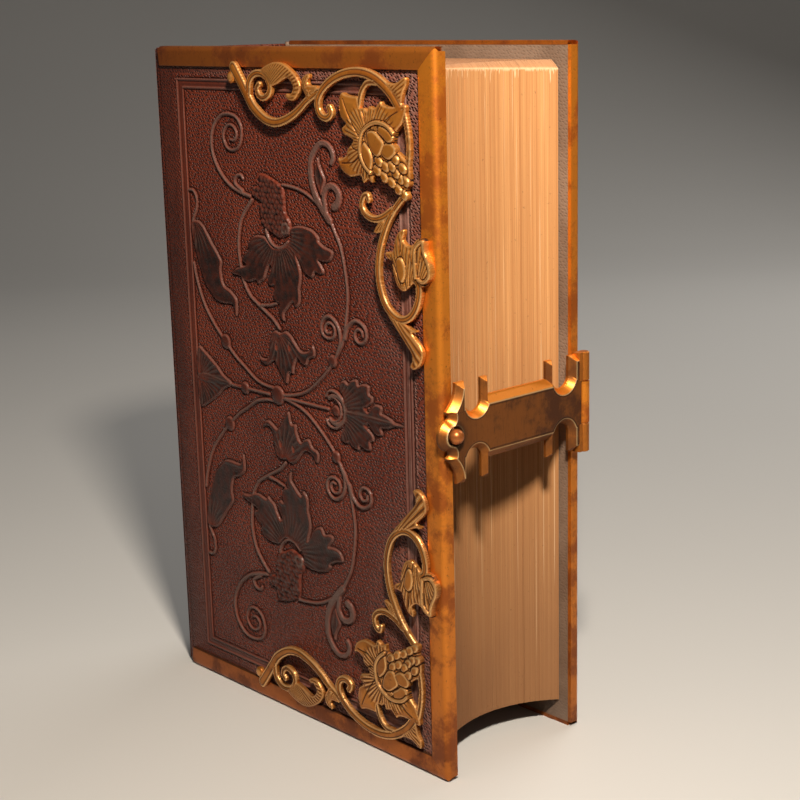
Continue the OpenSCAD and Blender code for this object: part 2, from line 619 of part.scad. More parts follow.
module clasp_plate() color(plate_colour) placed() {
    outer_length = (barrel_length - knuckle_length) / 2 - knuckle_gap;
    step = (clasp_thickness - clasp_edge) / bevel_steps;
    difference() {
        union() {
            translate([cover_width + clasp_stand, 0, clasp_middle]) rotate([90, 0, 90]) {
                linear_extrude(clasp_edge) clasp_outline();
                for (i = [1 : bevel_steps]) translate([0, 0, clasp_edge + (i - 1) * step]) linear_extrude(step)
                    offset(delta = -i * clasp_bevel / bevel_steps) clasp_outline(i * (bay_bevel - clasp_bevel) / bevel_steps);
            }
            for (low = [-barrel_length / 2, knuckle_length / 2 + knuckle_gap]) {
                knuckle(low, outer_length, pin_radius + pin_clearance);
                translate([hinge_x - barrel_radius, clasp_end - overrun, clasp_middle + low]) cube([barrel_radius, hinge_y - clasp_end + overrun, outer_length]);
            }
        }
        translate([cover_width, stud_inset, clasp_middle]) rotate([0, 90, 0]) cylinder(r = stud_hole_radius, h = clasp_stand + clasp_thickness + overrun);
        translate([hinge_x, hinge_y, clasp_middle - barrel_length]) cylinder(r = pin_radius + pin_clearance, h = 2 * barrel_length);
    }
}

pages();
head_band();
tail_band();
spine_leather();
front_board();
front_leather();
front_pastedown();
front_rim_head();
front_rim_fore();
front_rim_tail();
corner_mount_head();
corner_mount_tail();
catch_stud();
back_board();
back_leather();
back_pastedown();
back_rim_head();
back_rim_fore();
back_rim_tail();
hinge_leaf();
hinge_pin();
clasp_plate();
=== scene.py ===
import math

import bpy
import numpy as np
from mathutils import Matrix, Vector


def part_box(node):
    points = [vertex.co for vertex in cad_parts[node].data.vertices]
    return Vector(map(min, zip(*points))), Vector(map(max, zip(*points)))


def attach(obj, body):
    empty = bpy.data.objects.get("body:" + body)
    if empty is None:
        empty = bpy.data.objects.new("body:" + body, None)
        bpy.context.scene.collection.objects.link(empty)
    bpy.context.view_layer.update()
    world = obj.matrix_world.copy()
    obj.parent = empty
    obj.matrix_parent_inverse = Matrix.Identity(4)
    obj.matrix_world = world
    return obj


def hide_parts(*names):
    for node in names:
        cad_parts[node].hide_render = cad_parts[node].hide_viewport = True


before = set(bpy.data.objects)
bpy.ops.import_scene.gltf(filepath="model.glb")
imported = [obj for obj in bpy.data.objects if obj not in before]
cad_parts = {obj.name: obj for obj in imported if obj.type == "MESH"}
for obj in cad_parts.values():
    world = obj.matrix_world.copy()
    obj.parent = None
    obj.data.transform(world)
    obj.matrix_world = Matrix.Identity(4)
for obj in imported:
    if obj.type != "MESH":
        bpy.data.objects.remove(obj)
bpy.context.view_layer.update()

# Text block: a thick pile of paper leaves, folded and sewn in gatherings, rounded at the spine and
# trimmed by hand, so every few leaves stand a hair in or out of the hollow fore-edge. The edges are
# toasted by light and touch, rubbed off at the head corner, and the outer leaves are plain endpapers.
# Pale streaks on a few leaves and short ticks at the head corner of the fore-edge are painted highlights.
MM = 1000
COVER_WIDE, COVER_HIGH = 124.0, 200.0
fore_rail_low, fore_rail_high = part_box("front_rim_fore")
BOOK_DEEP = (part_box("back_rim_fore")[1].y - fore_rail_low.y) * MM
# Forms are drawn in millimetres from the front cover's lower spine corner: x to the fore-edge,
# y from the front cover to the back one, z to the head.
BOOK_CORNER = np.array([fore_rail_high.x - COVER_WIDE / MM, fore_rail_low.y, 0.0])


def piece(name, points, faces, finish, body, nodes, sharp, values=None):
    """A mesh in book millimetres that rides on a body. Values kept at its points go to its finish."""
    mesh = bpy.data.meshes.new(name)
    placed = np.asarray(points, float) / MM + BOOK_CORNER
    mesh.from_pydata(placed.tolist(), [], [list(map(int, face)) for face in faces])
    mesh.validate()
    mesh.shade_smooth()
    mesh.set_sharp_from_angle(angle=math.radians(sharp))
    for key, value in (values or {}).items():
        kept_values = mesh.attributes.new(key, "FLOAT", "POINT")
        kept_values.data.foreach_set("value", np.asarray(value, np.float32))
    obj = bpy.data.objects.new(name, mesh)
    bpy.context.scene.collection.objects.link(obj)
    mesh.materials.append(finish)
    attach(obj, body)
    if nodes:
        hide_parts(*nodes)
    return obj


def grid_faces(rows, columns, closed=False):
    faces = []
    for i in range(rows - 1):
        low, high = i * columns, (i + 1) * columns
        for j in range(columns if closed else columns - 1):
            k = (j + 1) % columns
            faces.append((low + j, low + k, high + k, high + j))
    return faces


def feed(tree, node, inputs):
    for key, value in inputs.items():
        if isinstance(value, bpy.types.NodeSocket):
            tree.links.new(value, node.inputs[key])
        else:
            node.inputs[key].default_value = value
    return node


def add(tree, kind, inputs=None, **settings):
    node = tree.nodes.new(kind)
    for key, value in settings.items():
        setattr(node, key, value)
    return feed(tree, node, inputs or {})


def maths(tree, operation, a, b, clamp=False):
    return add(tree, "ShaderNodeMath", {0: a, 1: b}, operation=operation, use_clamp=clamp).outputs[0]


def mixed(tree, factor, a, b):
    return add(tree, "ShaderNodeMix", {0: factor, 6: a, 7: b}, data_type="RGBA").outputs[2]


def between(tree, value, low, high, to_low=0.0, to_high=1.0):
    spread = {0: value, 1: low, 2: high, 3: to_low, 4: to_high}
    return add(tree, "ShaderNodeMapRange", spread, interpolation_type="SMOOTHSTEP").outputs[0]


def noise(tree, vector, scale, detail=3.0, rough=0.55):
    inputs = {"Vector": vector, "Scale": scale, "Detail": detail, "Roughness": rough}
    return add(tree, "ShaderNodeTexNoise", inputs).outputs["Fac"]


def stretched(tree, vector, scale):
    return add(tree, "ShaderNodeMapping", {"Vector": vector, "Scale": scale}).outputs["Vector"]


def bumped(tree, strength, distance, height):
    inputs = {"Strength": strength, "Distance": distance, "Height": height}
    return add(tree, "ShaderNodeBump", inputs).outputs[0]


def kept(tree, name):
    return add(tree, "ShaderNodeAttribute", attribute_name=name).outputs["Fac"]


def material(name):
    made = bpy.data.materials.new(name)
    made.use_nodes = True
    tree = made.node_tree
    tree.nodes.clear()
    out = tree.nodes.new("ShaderNodeOutputMaterial")
    bsdf = tree.nodes.new("ShaderNodeBsdfPrincipled")
    tree.links.new(bsdf.outputs[0], out.inputs[0])
    where = tree.nodes.new("ShaderNodeTexCoord").outputs["Object"]
    return made, tree, bsdf, where


def paper(name, pale, toasted, streak, cut_edge):
    browned, handled = (0.33, 0.16, 0.075, 1), (0.38, 0.205, 0.115, 1)
    page_highlight_colour, foxed = (0.84, 0.6, 0.37, 1), (0.16, 0.075, 0.035, 1)
    made, tree, bsdf, where = material(name)
    leaf_lines = noise(tree, stretched(tree, where, (14.0, 2600.0, 14.0)), 1.0, 5.0, 0.7)
    patch = between(tree, noise(tree, stretched(tree, where, (1.0, 2.2, 0.7)), 26.0, 5.0), 0.3, 0.75)
    leaf_tone = maths(tree, "MULTIPLY", kept(tree, "tone"), 0.55)
    line_tone = maths(tree, "MULTIPLY", between(tree, leaf_lines, 0.3, 0.7), 0.45)
    shade = maths(tree, "ADD", leaf_tone, line_tone)
    colour = mixed(tree, maths(tree, "MULTIPLY", shade, streak), toasted, pale)
    level = add(tree, "ShaderNodeSeparateXYZ", {0: where}).outputs[2]
    near_tail = between(tree, level, 0.02, 0.13, 0.7, 0.0)
    brown = maths(tree, "ADD", maths(tree, "MULTIPLY", patch, 0.25), near_tail)
    colour = mixed(tree, maths(tree, "MULTIPLY", brown, streak, True), colour, browned)
    if cut_edge:
        colour = mixed(tree, maths(tree, "MULTIPLY", kept(tree, "end"), 0.8), colour, handled)
        # Painted highlights: pale streaks on a few leaves and ticks at the head corner.
        colour = mixed(tree, kept(tree, "page_highlight"), colour, page_highlight_colour)
    speck = between(tree, noise(tree, where, 900.0, 3.0), 0.66, 0.76)
    colour = mixed(tree, maths(tree, "MULTIPLY", speck, 0.45), colour, foxed)
    bump = bumped(tree, 0.35, 0.0003, maths(tree, "MULTIPLY", leaf_lines, streak))
    feed(tree, bsdf, {"Base Color": colour, "Roughness": 0.85, "Normal": bump, "Specular IOR Level": 0.2})
    return made


page_paper = paper("page_edges", (0.7, 0.37, 0.15, 1), (0.46, 0.2, 0.07, 1), 1.0, True)
end_paper = paper("endpaper", (0.62, 0.47, 0.3, 1), (0.5, 0.36, 0.22, 1), 0.3, False)

rng = np.random.default_rng(7)
page_low, page_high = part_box("pages")
first_leaf = (page_low.y - BOOK_CORNER[1]) * MM
last_leaf = (page_high.y - BOOK_CORNER[1]) * MM
leaf_y = [first_leaf]
while leaf_y[-1] < last_leaf - 0.2:
    leaf_y.append(leaf_y[-1] + rng.uniform(0.1, 0.24))
leaf_y[-1] = last_leaf
page_middle, page_half = (first_leaf + last_leaf) / 2, (last_leaf - first_leaf) / 2
page_foot, page_top = page_low.z * MM, page_high.z * MM
fore_x, fore_hollow = (page_high.x - BOOK_CORNER[0]) * MM, 8.7
spine_x, spine_swell = -0.3, 8.0
fore_radius = (page_half**2 + fore_hollow**2) / (2 * fore_hollow)
spine_radius = (page_half**2 + spine_swell**2) / (2 * spine_swell)
gathering_wide = 2.9
corner_steps, corner_soil = (0.25, 0.5, 0.75, 0.97), [0.9, 0.8, 0.65, 0.3]
corner_ticks = [0.05, 0.3, 0.8, 1.6, 2.6, 4.0, 6.0]
columns, tones, ends, lights = [], [], [], []
gathering = np.cumsum(rng.uniform(2.2, 3.6, 40))
for a, b in zip(leaf_y[:-1], leaf_y[1:]):
    sheaf = np.searchsorted(gathering, a - first_leaf)
    swing = 0.5 - 0.5 * math.cos(2 * math.pi * (a - first_leaf) / gathering_wide)
    stand_back = 0.07 * swing + abs(rng.normal(0, 0.06)) + (0.18 if rng.random() < 0.035 else 0)
    short = abs(rng.normal(0, 0.05))
    tone = np.clip(0.45 + 0.28 * rng.normal() + 0.12 * math.sin(sheaf * 2.4), 0, 1)
    pale = 0.5 * (rng.random() < 0.12)
    streak_low = rng.uniform(page_foot, page_top)
    streak_high = streak_low + rng.uniform(8.0, 45.0)
    tick = rng.uniform(0.1, 0.5) + (rng.uniform(0.5, 2.6) if rng.random() < 0.1 else 0.0)
    leaf_top, leaf_foot = page_top - short, page_foot + short
    for y in (a, b):
        off = min(abs(y - page_middle), page_half)
        xf = fore_x - fore_hollow + fore_radius - math.sqrt(fore_radius**2 - off**2) - stand_back
        xs = spine_x - spine_swell + spine_radius - math.sqrt(spine_radius**2 - off**2)
        wear = 0.5 + 2.0 * (y - first_leaf) / (last_leaf - first_leaf)
        fall = page_top - page_foot - 2 * short - wear
        drops = corner_ticks + list(np.linspace(9, fall - 0.05, 16))
        head = [(xs + (xf - wear - xs) * t, y, leaf_top) for t in np.linspace(0, 1, 7)]
        corner = [(xf - wear * (1 - s) ** 1.3, y, leaf_top - wear * s) for s in corner_steps]
        edge = [(xf, y, leaf_top - wear - min(drop, fall)) for drop in drops]
        tail = [(xs + (xf - xs) * t, y, leaf_foot) for t in np.linspace(1, 0, 7)]
        columns.append(head + corner + edge + tail)
        tones.append(np.full(len(columns[-1]), tone))
        ends.append([1.0] * len(head) + corner_soil + [0.0] * len(edge) + [1.0] * len(tail))
        # Painted highlights on the fore-edge: a pale stretch on a few leaves and a tick just under the head
        # corner.
        page_highlight = []
        for _, _, z in edge:
            page_highlight.append(max(pale * (streak_low < z < streak_high), 0.7 * (leaf_top - wear - z < tick)))
        lights.append([0.0] * (len(head) + 3) + [0.6] + page_highlight + [0.0] * len(tail))
long = len(columns[0])
points = [point for column in columns for point in column]
faces = [face[::-1] for face in grid_faces(len(columns), long)]
for i in range(len(columns) - 1):
    faces.append((i * long, (i + 1) * long, (i + 2) * long - 1, (i + 1) * long - 1))
faces += [tuple(range(long)), tuple(range((len(columns) - 1) * long, len(columns) * long))[::-1]]
values = {"tone": np.concatenate(tones), "end": np.concatenate(ends), "page_highlight": np.concatenate(lights)}
pages = piece("page_leaves", points, faces, page_paper, "text_block", ["pages"], 30, values)
pages.data.materials.append(end_paper)
for outer_leaf in (len(faces) - 2, len(faces) - 1):
    pages.data.polygons[outer_leaf].material_index = 1

# Sewn bands: a cord at each end of the spine, wound with thread in two colours and sewn down
# through the gatherings. The CAD forms stay and get the wound thread as their finish.


def dress(node, finish):
    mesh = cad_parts[node].data
    mesh.materials.clear()
    mesh.materials.append(finish)


red_thread, pale_thread = (0.2, 0.06, 0.035, 1), (0.5, 0.36, 0.2, 1)
sewn_thread, tree, bsdf, where = material("sewn_thread")
winding = {"Vector": where, "Scale": 190.0, "Distortion": 0.6, "Detail": 1.0}
wound = add(tree, "ShaderNodeTexWave", winding, bands_direction="Y").outputs["Fac"]
colour = mixed(tree, between(tree, wound, 0.35, 0.65), red_thread, pale_thread)
bump = bumped(tree, 0.6, 0.0004, wound)
feed(tree, bsdf, {"Base Color": colour, "Roughness": 0.8, "Normal": bump})
dress("head_band", sewn_thread)
dress("tail_band", sewn_thread)

# Spine leather: leather glued over the rounded spine and drawn down beside the raised bands. It is
# dark red-brown, with a softer pebble than the covers. The CAD form stays and gets this finish.


def group(name, outputs):
    tree = bpy.data.node_groups.new(name, "ShaderNodeTree")
    tree.interface.new_socket("Vector", in_out="INPUT", socket_type="NodeSocketVector")
    for key in outputs:
        tree.interface.new_socket(key, in_out="OUTPUT", socket_type="NodeSocketFloat")
    at = tree.nodes.new("NodeGroupInput").outputs["Vector"]
    return tree, at, tree.nodes.new("NodeGroupOutput")


def use(tree, name, vector):
    node = add(tree, "ShaderNodeGroup", node_tree=bpy.data.node_groups[name])
    return feed(tree, node, {"Vector": vector}).outputs


tree, at, result = group("Pebble grain", ("Height", "Pit", "Blotch"))
warp = add(tree, "ShaderNodeTexNoise", {"Vector": at, "Scale": 330.0, "Detail": 2.0}).outputs["Color"]
bent = add(tree, "ShaderNodeMix", {0: 0.0005, 4: at, 5: warp}, data_type="VECTOR").outputs[1]
spread = add(tree, "ShaderNodeSeparateXYZ", {0: bent}).outputs
rows = maths(tree, "MULTIPLY", spread[2], 1.3)
across = maths(tree, "ADD", spread[0], spread[1])
staggered = maths(tree, "ADD", across, maths(tree, "MULTIPLY", rows, 0.5))
laid_out = add(tree, "ShaderNodeCombineXYZ", {0: staggered, 1: rows}).outputs[0]
pebbles = {"Vector": laid_out, "Scale": 800.0, "Randomness": 0.62}
cells = add(tree, "ShaderNodeTexVoronoi", pebbles, voronoi_dimensions="2D").outputs["Distance"]
fine = maths(tree, "MULTIPLY", noise(tree, at, 3800.0, 3.0), 0.2)
feed(tree, result, {
    "Height": maths(tree, "ADD", between(tree, cells, 0.08, 0.46), fine),
    "Pit": between(tree, cells, 0.12, 0.4, 1.0, 0.0),
    "Blotch": between(tree, noise(tree, at, 34.0, 6.0, 0.6), 0.33, 0.7),
})


def leather(name, pale, deep, grain, turned_face=0.0):
    """Pebbled hide. A turned face of 1 or -1 is the side, along y, that shows bare turned-in leather."""
    turned_deep, turned_pale = (0.2, 0.13, 0.09, 1), (0.31, 0.215, 0.155, 1)
    pit_dirt_and_shade, scuffed = (0.018, 0.005, 0.003, 1), (0.26, 0.09, 0.06, 1)
    stain_and_shade_colour, rub_and_highlight_colour, dust_and_sheen_colour = (0.016, 0.008, 0.0065, 1), (0.135, 0.084, 0.069, 1), (0.33, 0.19, 0.155, 1)
    made, tree, bsdf, where = material(name)
    pebble = use(tree, "Pebble grain", where)
    rough = maths(tree, "SUBTRACT", 1.0, kept(tree, "flat"), True)
    hide = mixed(tree, pebble["Blotch"], deep, pale)
    if turned_face:
        normal = add(tree, "ShaderNodeTexCoord").outputs["Normal"]
        facing = add(tree, "ShaderNodeSeparateXYZ", {0: normal}).outputs[1]
        turned_in = between(tree, maths(tree, "MULTIPLY", facing, turned_face), 0.4, 0.8)
        hide = mixed(tree, turned_in, hide, mixed(tree, pebble["Blotch"], turned_deep, turned_pale))
        rough = maths(tree, "SUBTRACT", rough, maths(tree, "MULTIPLY", turned_in, 0.85), True)
    pit = maths(tree, "MULTIPLY", pebble["Pit"], rough)
    # The grain's pits are darkened with dirt and painted shade.
    hide = mixed(tree, maths(tree, "MULTIPLY", pit, 0.92), hide, pit_dirt_and_shade)
    scuffs = between(tree, noise(tree, where, 150.0, 7.0, 0.7), 0.62, 0.8, 0.0, 0.25)
    hide = mixed(tree, scuffs, hide, scuffed)
    mottle = between(tree, noise(tree, where, 420.0, 5.0), 0.3, 0.7, 0.7, 1.0)
    # Black stain on the leaves, and painted shade in the grooves round the forms and along the spine edge.
    hide = mixed(tree, maths(tree, "MULTIPLY", kept(tree, "stain_and_shade"), mottle), hide, stain_and_shade_colour)
    # Rubbed pale tops with painted highlights: stems, leaf edges and fanned ridges, grapes, fillets and the
    # rims of the pierced eyes.
    hide = mixed(tree, maths(tree, "MULTIPLY", kept(tree, "rub_and_highlight"), mottle), hide, rub_and_highlight_colour)
    # Pale dust and painted sheen on the pebble tops.
    cloud = between(tree, noise(tree, where, 240.0, 5.0), 0.35, 0.65, 0.4, 1.0)
    ridge = maths(tree, "MULTIPLY", maths(tree, "SUBTRACT", 1.0, pit, True), cloud)
    hide = mixed(tree, maths(tree, "MULTIPLY", kept(tree, "dust_and_sheen"), ridge), hide, dust_and_sheen_colour)
    high = maths(tree, "MULTIPLY", pebble["Height"], between(tree, rough, 0.0, 1.0, 0.06, 1.0))
    bump = bumped(tree, grain, 0.0006, high)
    shine = between(tree, rough, 0.0, 1.0, 0.36, 0.44)
    feed(tree, bsdf, {"Base Color": hide, "Roughness": shine, "Normal": bump, "Specular IOR Level": 0.32})
    return made


spine_pale, spine_deep = (0.13, 0.025, 0.012, 1), (0.085, 0.016, 0.008, 1)
spine_hide = leather("spine_leather", spine_pale, spine_deep, 0.5)
dress("spine_leather", spine_hide)

# Boards and pastedowns: stiff boards of pressed fibre under the leather, and the paper pasted over the
# inner face of each. The boards are hidden when the leather is sound. The CAD forms stay.
dark_fibre, pale_fibre = (0.13, 0.1, 0.07, 1), (0.24, 0.19, 0.14, 1)
pressed_board, tree, bsdf, where = material("board")
fibre = noise(tree, where, 700.0, 6.0, 0.7)
bump = bumped(tree, 0.3, 0.0003, fibre)
colour = mixed(tree, fibre, dark_fibre, pale_fibre)
feed(tree, bsdf, {"Base Color": colour, "Roughness": 0.9, "Normal": bump})
for side in ("front", "back"):
    dress(side + "_board", pressed_board)
    dress(side + "_pastedown", end_paper)

# Front cover's leather: one sheet pressed damp in a die, so that a grapevine and two fillets stand
# up from the pebbled ground. Stems are round, leaves dished with fine fanned lines, grapes
# domed, and the lower half mirrors the upper one. High edges are rubbed pale and carry painted
# highlights, the leaves are stained black, and painted shade darkens the grooves round the forms
# and the strip along the spine edge.
cover_leather = leather("embossed_leather", (0.205, 0.038, 0.017, 1), (0.13, 0.022, 0.01, 1), 1.0)
# The ornament is drawn in pixels of a frontal view of the cover, 8 to the millimetre.
VIEW_SCALE, VIEW_SPINE, VIEW_TAIL, VIEW_TAIL_MIRRORED = 8, 32, 1632, 40


def view(points, flip=False):
    placed = []
    for u, v in points:
        up = v - VIEW_TAIL_MIRRORED if flip else VIEW_TAIL - v
        placed.append(((u - VIEW_SPINE) / VIEW_SCALE, up / VIEW_SCALE))
    return np.array(placed)


def spline(points, steps=6, closed=False):
    p = np.array(points, float)
    q = np.vstack([p[-1:], p, p[:2]]) if closed else np.vstack([p[:1], p, p[-1:]])
    t = np.linspace(0, 1, steps, endpoint=False)[:, None]
    spans = []
    for a, b, c, d in zip(q[:-3], q[1:-2], q[2:-1], q[3:]):
        bend, twist = 2 * a - 5 * b + 4 * c - d, 3 * b - a - 3 * c + d
        spans.append(((2 * b) + (c - a) * t + bend * t**2 + twist * t**3) / 2)
    return np.vstack(spans if closed else spans + [p[-1:]])


class Sheet:
    """A grid over a flat piece. Forms are drawn on it as distances, below zero inside a form."""

    def __init__(self, low, high, step):
        self.step = step
        self.x = np.arange(low[0], high[0] + step / 2, step)
        self.z = np.arange(low[1], high[1] + step / 2, step)

    def full(self, value=0.0):
        return np.full((len(self.x), len(self.z)), float(value))

    def window(self, points, reach):
        low, high = points.min(0) - reach, points.max(0) + reach
        i = slice(*np.searchsorted(self.x, (low[0], high[0])))
        j = slice(*np.searchsorted(self.z, (low[1], high[1])))
        return (i, j), self.x[i][:, None], self.z[j][None, :]


def line_distance(points, x, z):
    best = np.full(np.broadcast(x, z).shape, 1e3)
    share = np.zeros(best.shape)
    steps = np.hypot(*np.diff(points, axis=0).T)
    total, run = steps.sum(), 0.0
    for a, b, length in zip(points[:-1], points[1:], steps):
        d = b - a
        t = np.clip(((x - a[0]) * d[0] + (z - a[1]) * d[1]) / max(length**2, 1e-9), 0, 1)
        far = np.hypot(x - a[0] - t * d[0], z - a[1] - t * d[1])
        near = far < best
        best, share = np.where(near, far, best), np.where(near, (run + t * length) / total, share)
        run += length
    return best, share


def stroke_distance(points, x, z, start, end):
    far, share = line_distance(points, x, z)
    return far - (start + (end - start) * share) / 2


def shape_distance(points, x, z):
    loop = np.vstack([points, points[:1]])
    far, _ = line_distance(loop, x, z)
    odd = np.zeros(far.shape, bool)
    for a, b in zip(loop[:-1], loop[1:]):
        if a[1] != b[1]:
            crossing = (b[0] - a[0]) * (z - a[1]) / (b[1] - a[1]) + a[0]
            odd ^= ((a[1] > z) != (b[1] > z)) & (x < crossing)
    return np.where(odd, -far, far)


def dome(depth, reach):
    u = np.clip(depth / reach, 0, 1)
    return np.sqrt(1 - (1 - u) ** 2)


def ease(value, low, high):
    u = np.clip((value - low) / (high - low), 0, 1)
    return u * u * (3 - 2 * u)


def soft_line(far, depth, wide):
    return np.exp(-(((far + depth) / wide) ** 2))


vine = Sheet((2.2, 1.3), (122.9, 198.7), 0.3)
height, stain_and_shade, nearest, rub_and_highlight = vine.full(), vine.full(), vine.full(9.0), vine.full()


def press(window, far, form, dark=0.0):
    height[window] = np.maximum(height[window], np.where(far < 0.02, form, 0))
    stain_and_shade[window] = np.maximum(stain_and_shade[window], dark * ease(-far, 0.15, 0.7))
    nearest[window] = np.minimum(nearest[window], far)


def stem(pixels, start=0.95, end=0.95, flip=False, high=0.62):
    line = spline(view(pixels, flip))
    window, x, z = vine.window(line, 3)
    far = stroke_distance(line, x, z, start, end)
    form = high * dome(-far, 0.62)
    if max(start, end) > 1.8:
        form = form - 0.2 * soft_line(far, 0.75, 0.16)
    press(window, far, form)
    # Rubbed pale top of the stem, with a painted highlight.
    rub_and_highlight[window] = np.maximum(rub_and_highlight[window], 0.95 * ease(-far, -0.05, 0.25))


def leaf(pixels, centre, lines, flip=False, dark=1.0, high=0.6):
    loop = spline(view(pixels, flip), 4, True)
    window, x, z = vine.window(loop, 3)
    far = shape_distance(loop, x, z)
    hub = view([centre], flip)[0]
    turn, reach = np.arctan2(z - hub[1], x - hub[0]), np.hypot(x - hub[0], z - hub[1])
    fan = np.cos(lines * turn + 0.5 * np.sin(reach * 0.7))
    fan = fan * ease(reach, 0.8, 2.4) * (1 - 0.7 * ease(reach, 8, 15))
    ribs = np.cos(lines / 5 * turn + 0.6)
    deep = ease(-far, 0.35, 0.9)
    form = high * ease(-far, -0.05, 0.35) - 0.24 * ease(-far, 0.35, 1.6) + (0.12 * fan + 0.1 * ribs) * deep
    press(window, far, form, dark * (0.5 + 0.5 * ease(reach, 2.5, 7.0)))
    # Pale edge and fanned ridges of the leaf: rub and painted highlight.
    edge = 0.8 * soft_line(far, 0.12, 0.2) + 0.5 * ease(fan, 0.3, 0.95) * deep
    rub_and_highlight[window] = np.where(far < 0.1, edge, rub_and_highlight[window])


def opening(centre, half_wide, half_high, flip=False):
    hub = view([centre], flip)
    window, x, z = vine.window(hub, 3)
    far = np.hypot((x - hub[0][0]) / half_wide, (z - hub[0][1]) / half_high) - 1
    far = far * min(half_wide, half_high)
    height[window] = np.where(far < 0.15, 0.1 + 0.4 * ease(far, -0.2, 0.15), height[window])
    stain_and_shade[window] = np.where(far < 0.05, 0.0, stain_and_shade[window])
    rub_and_highlight[window] = np.where(far < 0.0, 0.1, np.where(far < 0.3, 0.5, rub_and_highlight[window]))


def bead(centre, radius, flip=False, high=0.85):
    hub = view([centre], flip)
    window, x, z = vine.window(hub, 3 + radius)
    far = np.hypot(x - hub[0][0], z - hub[0][1]) - radius
    press(window, far, high * dome(-far, radius), 0.75)
    # Pale ring on the grape: rub and painted highlight.
    rub_and_highlight[window] = np.where(far < 0.1, 0.6 * soft_line(far, 0.3, 0.22), rub_and_highlight[window])


def bunch(pixels, flip=False):
    loop = spline(view(pixels, flip), 3, True)
    window, x, z = vine.window(loop, 3)
    far = shape_distance(loop, x, z)
    low, high = loop.min(0), loop.max(0)
    row_apart, berry_apart = 1.5, 1.7
    berries = np.zeros(far.shape)
    for row, v in enumerate(np.arange(low[1], high[1] + 1, row_apart)):
        first = low[0] - 1 + (row % 2) * berry_apart / 2
        for k, u in enumerate(np.arange(first, high[0] + 1, berry_apart)):
            size = 0.95 + 0.14 * math.sin(7.1 * k + 3.3 * row)
            off_x, off_z = 0.22 * math.sin(5.7 * row + 2.3 * k), 0.22 * math.sin(4.1 * k + 1.9 * row)
            berries = np.maximum(berries, dome(size - np.hypot(x - u - off_x, z - v - off_z), size))
    form = 0.25 * ease(-far, -0.05, 0.4) + 0.6 * berries * ease(-far, 0.0, 0.5)
    # Darker between the grapes.
    press(window, far, form, 0.6 + 0.4 * (1 - berries))
    rub_and_highlight[window] = np.where(far < 0.1, 0.3 * ease(berries, 0.75, 0.97), rub_and_highlight[window])


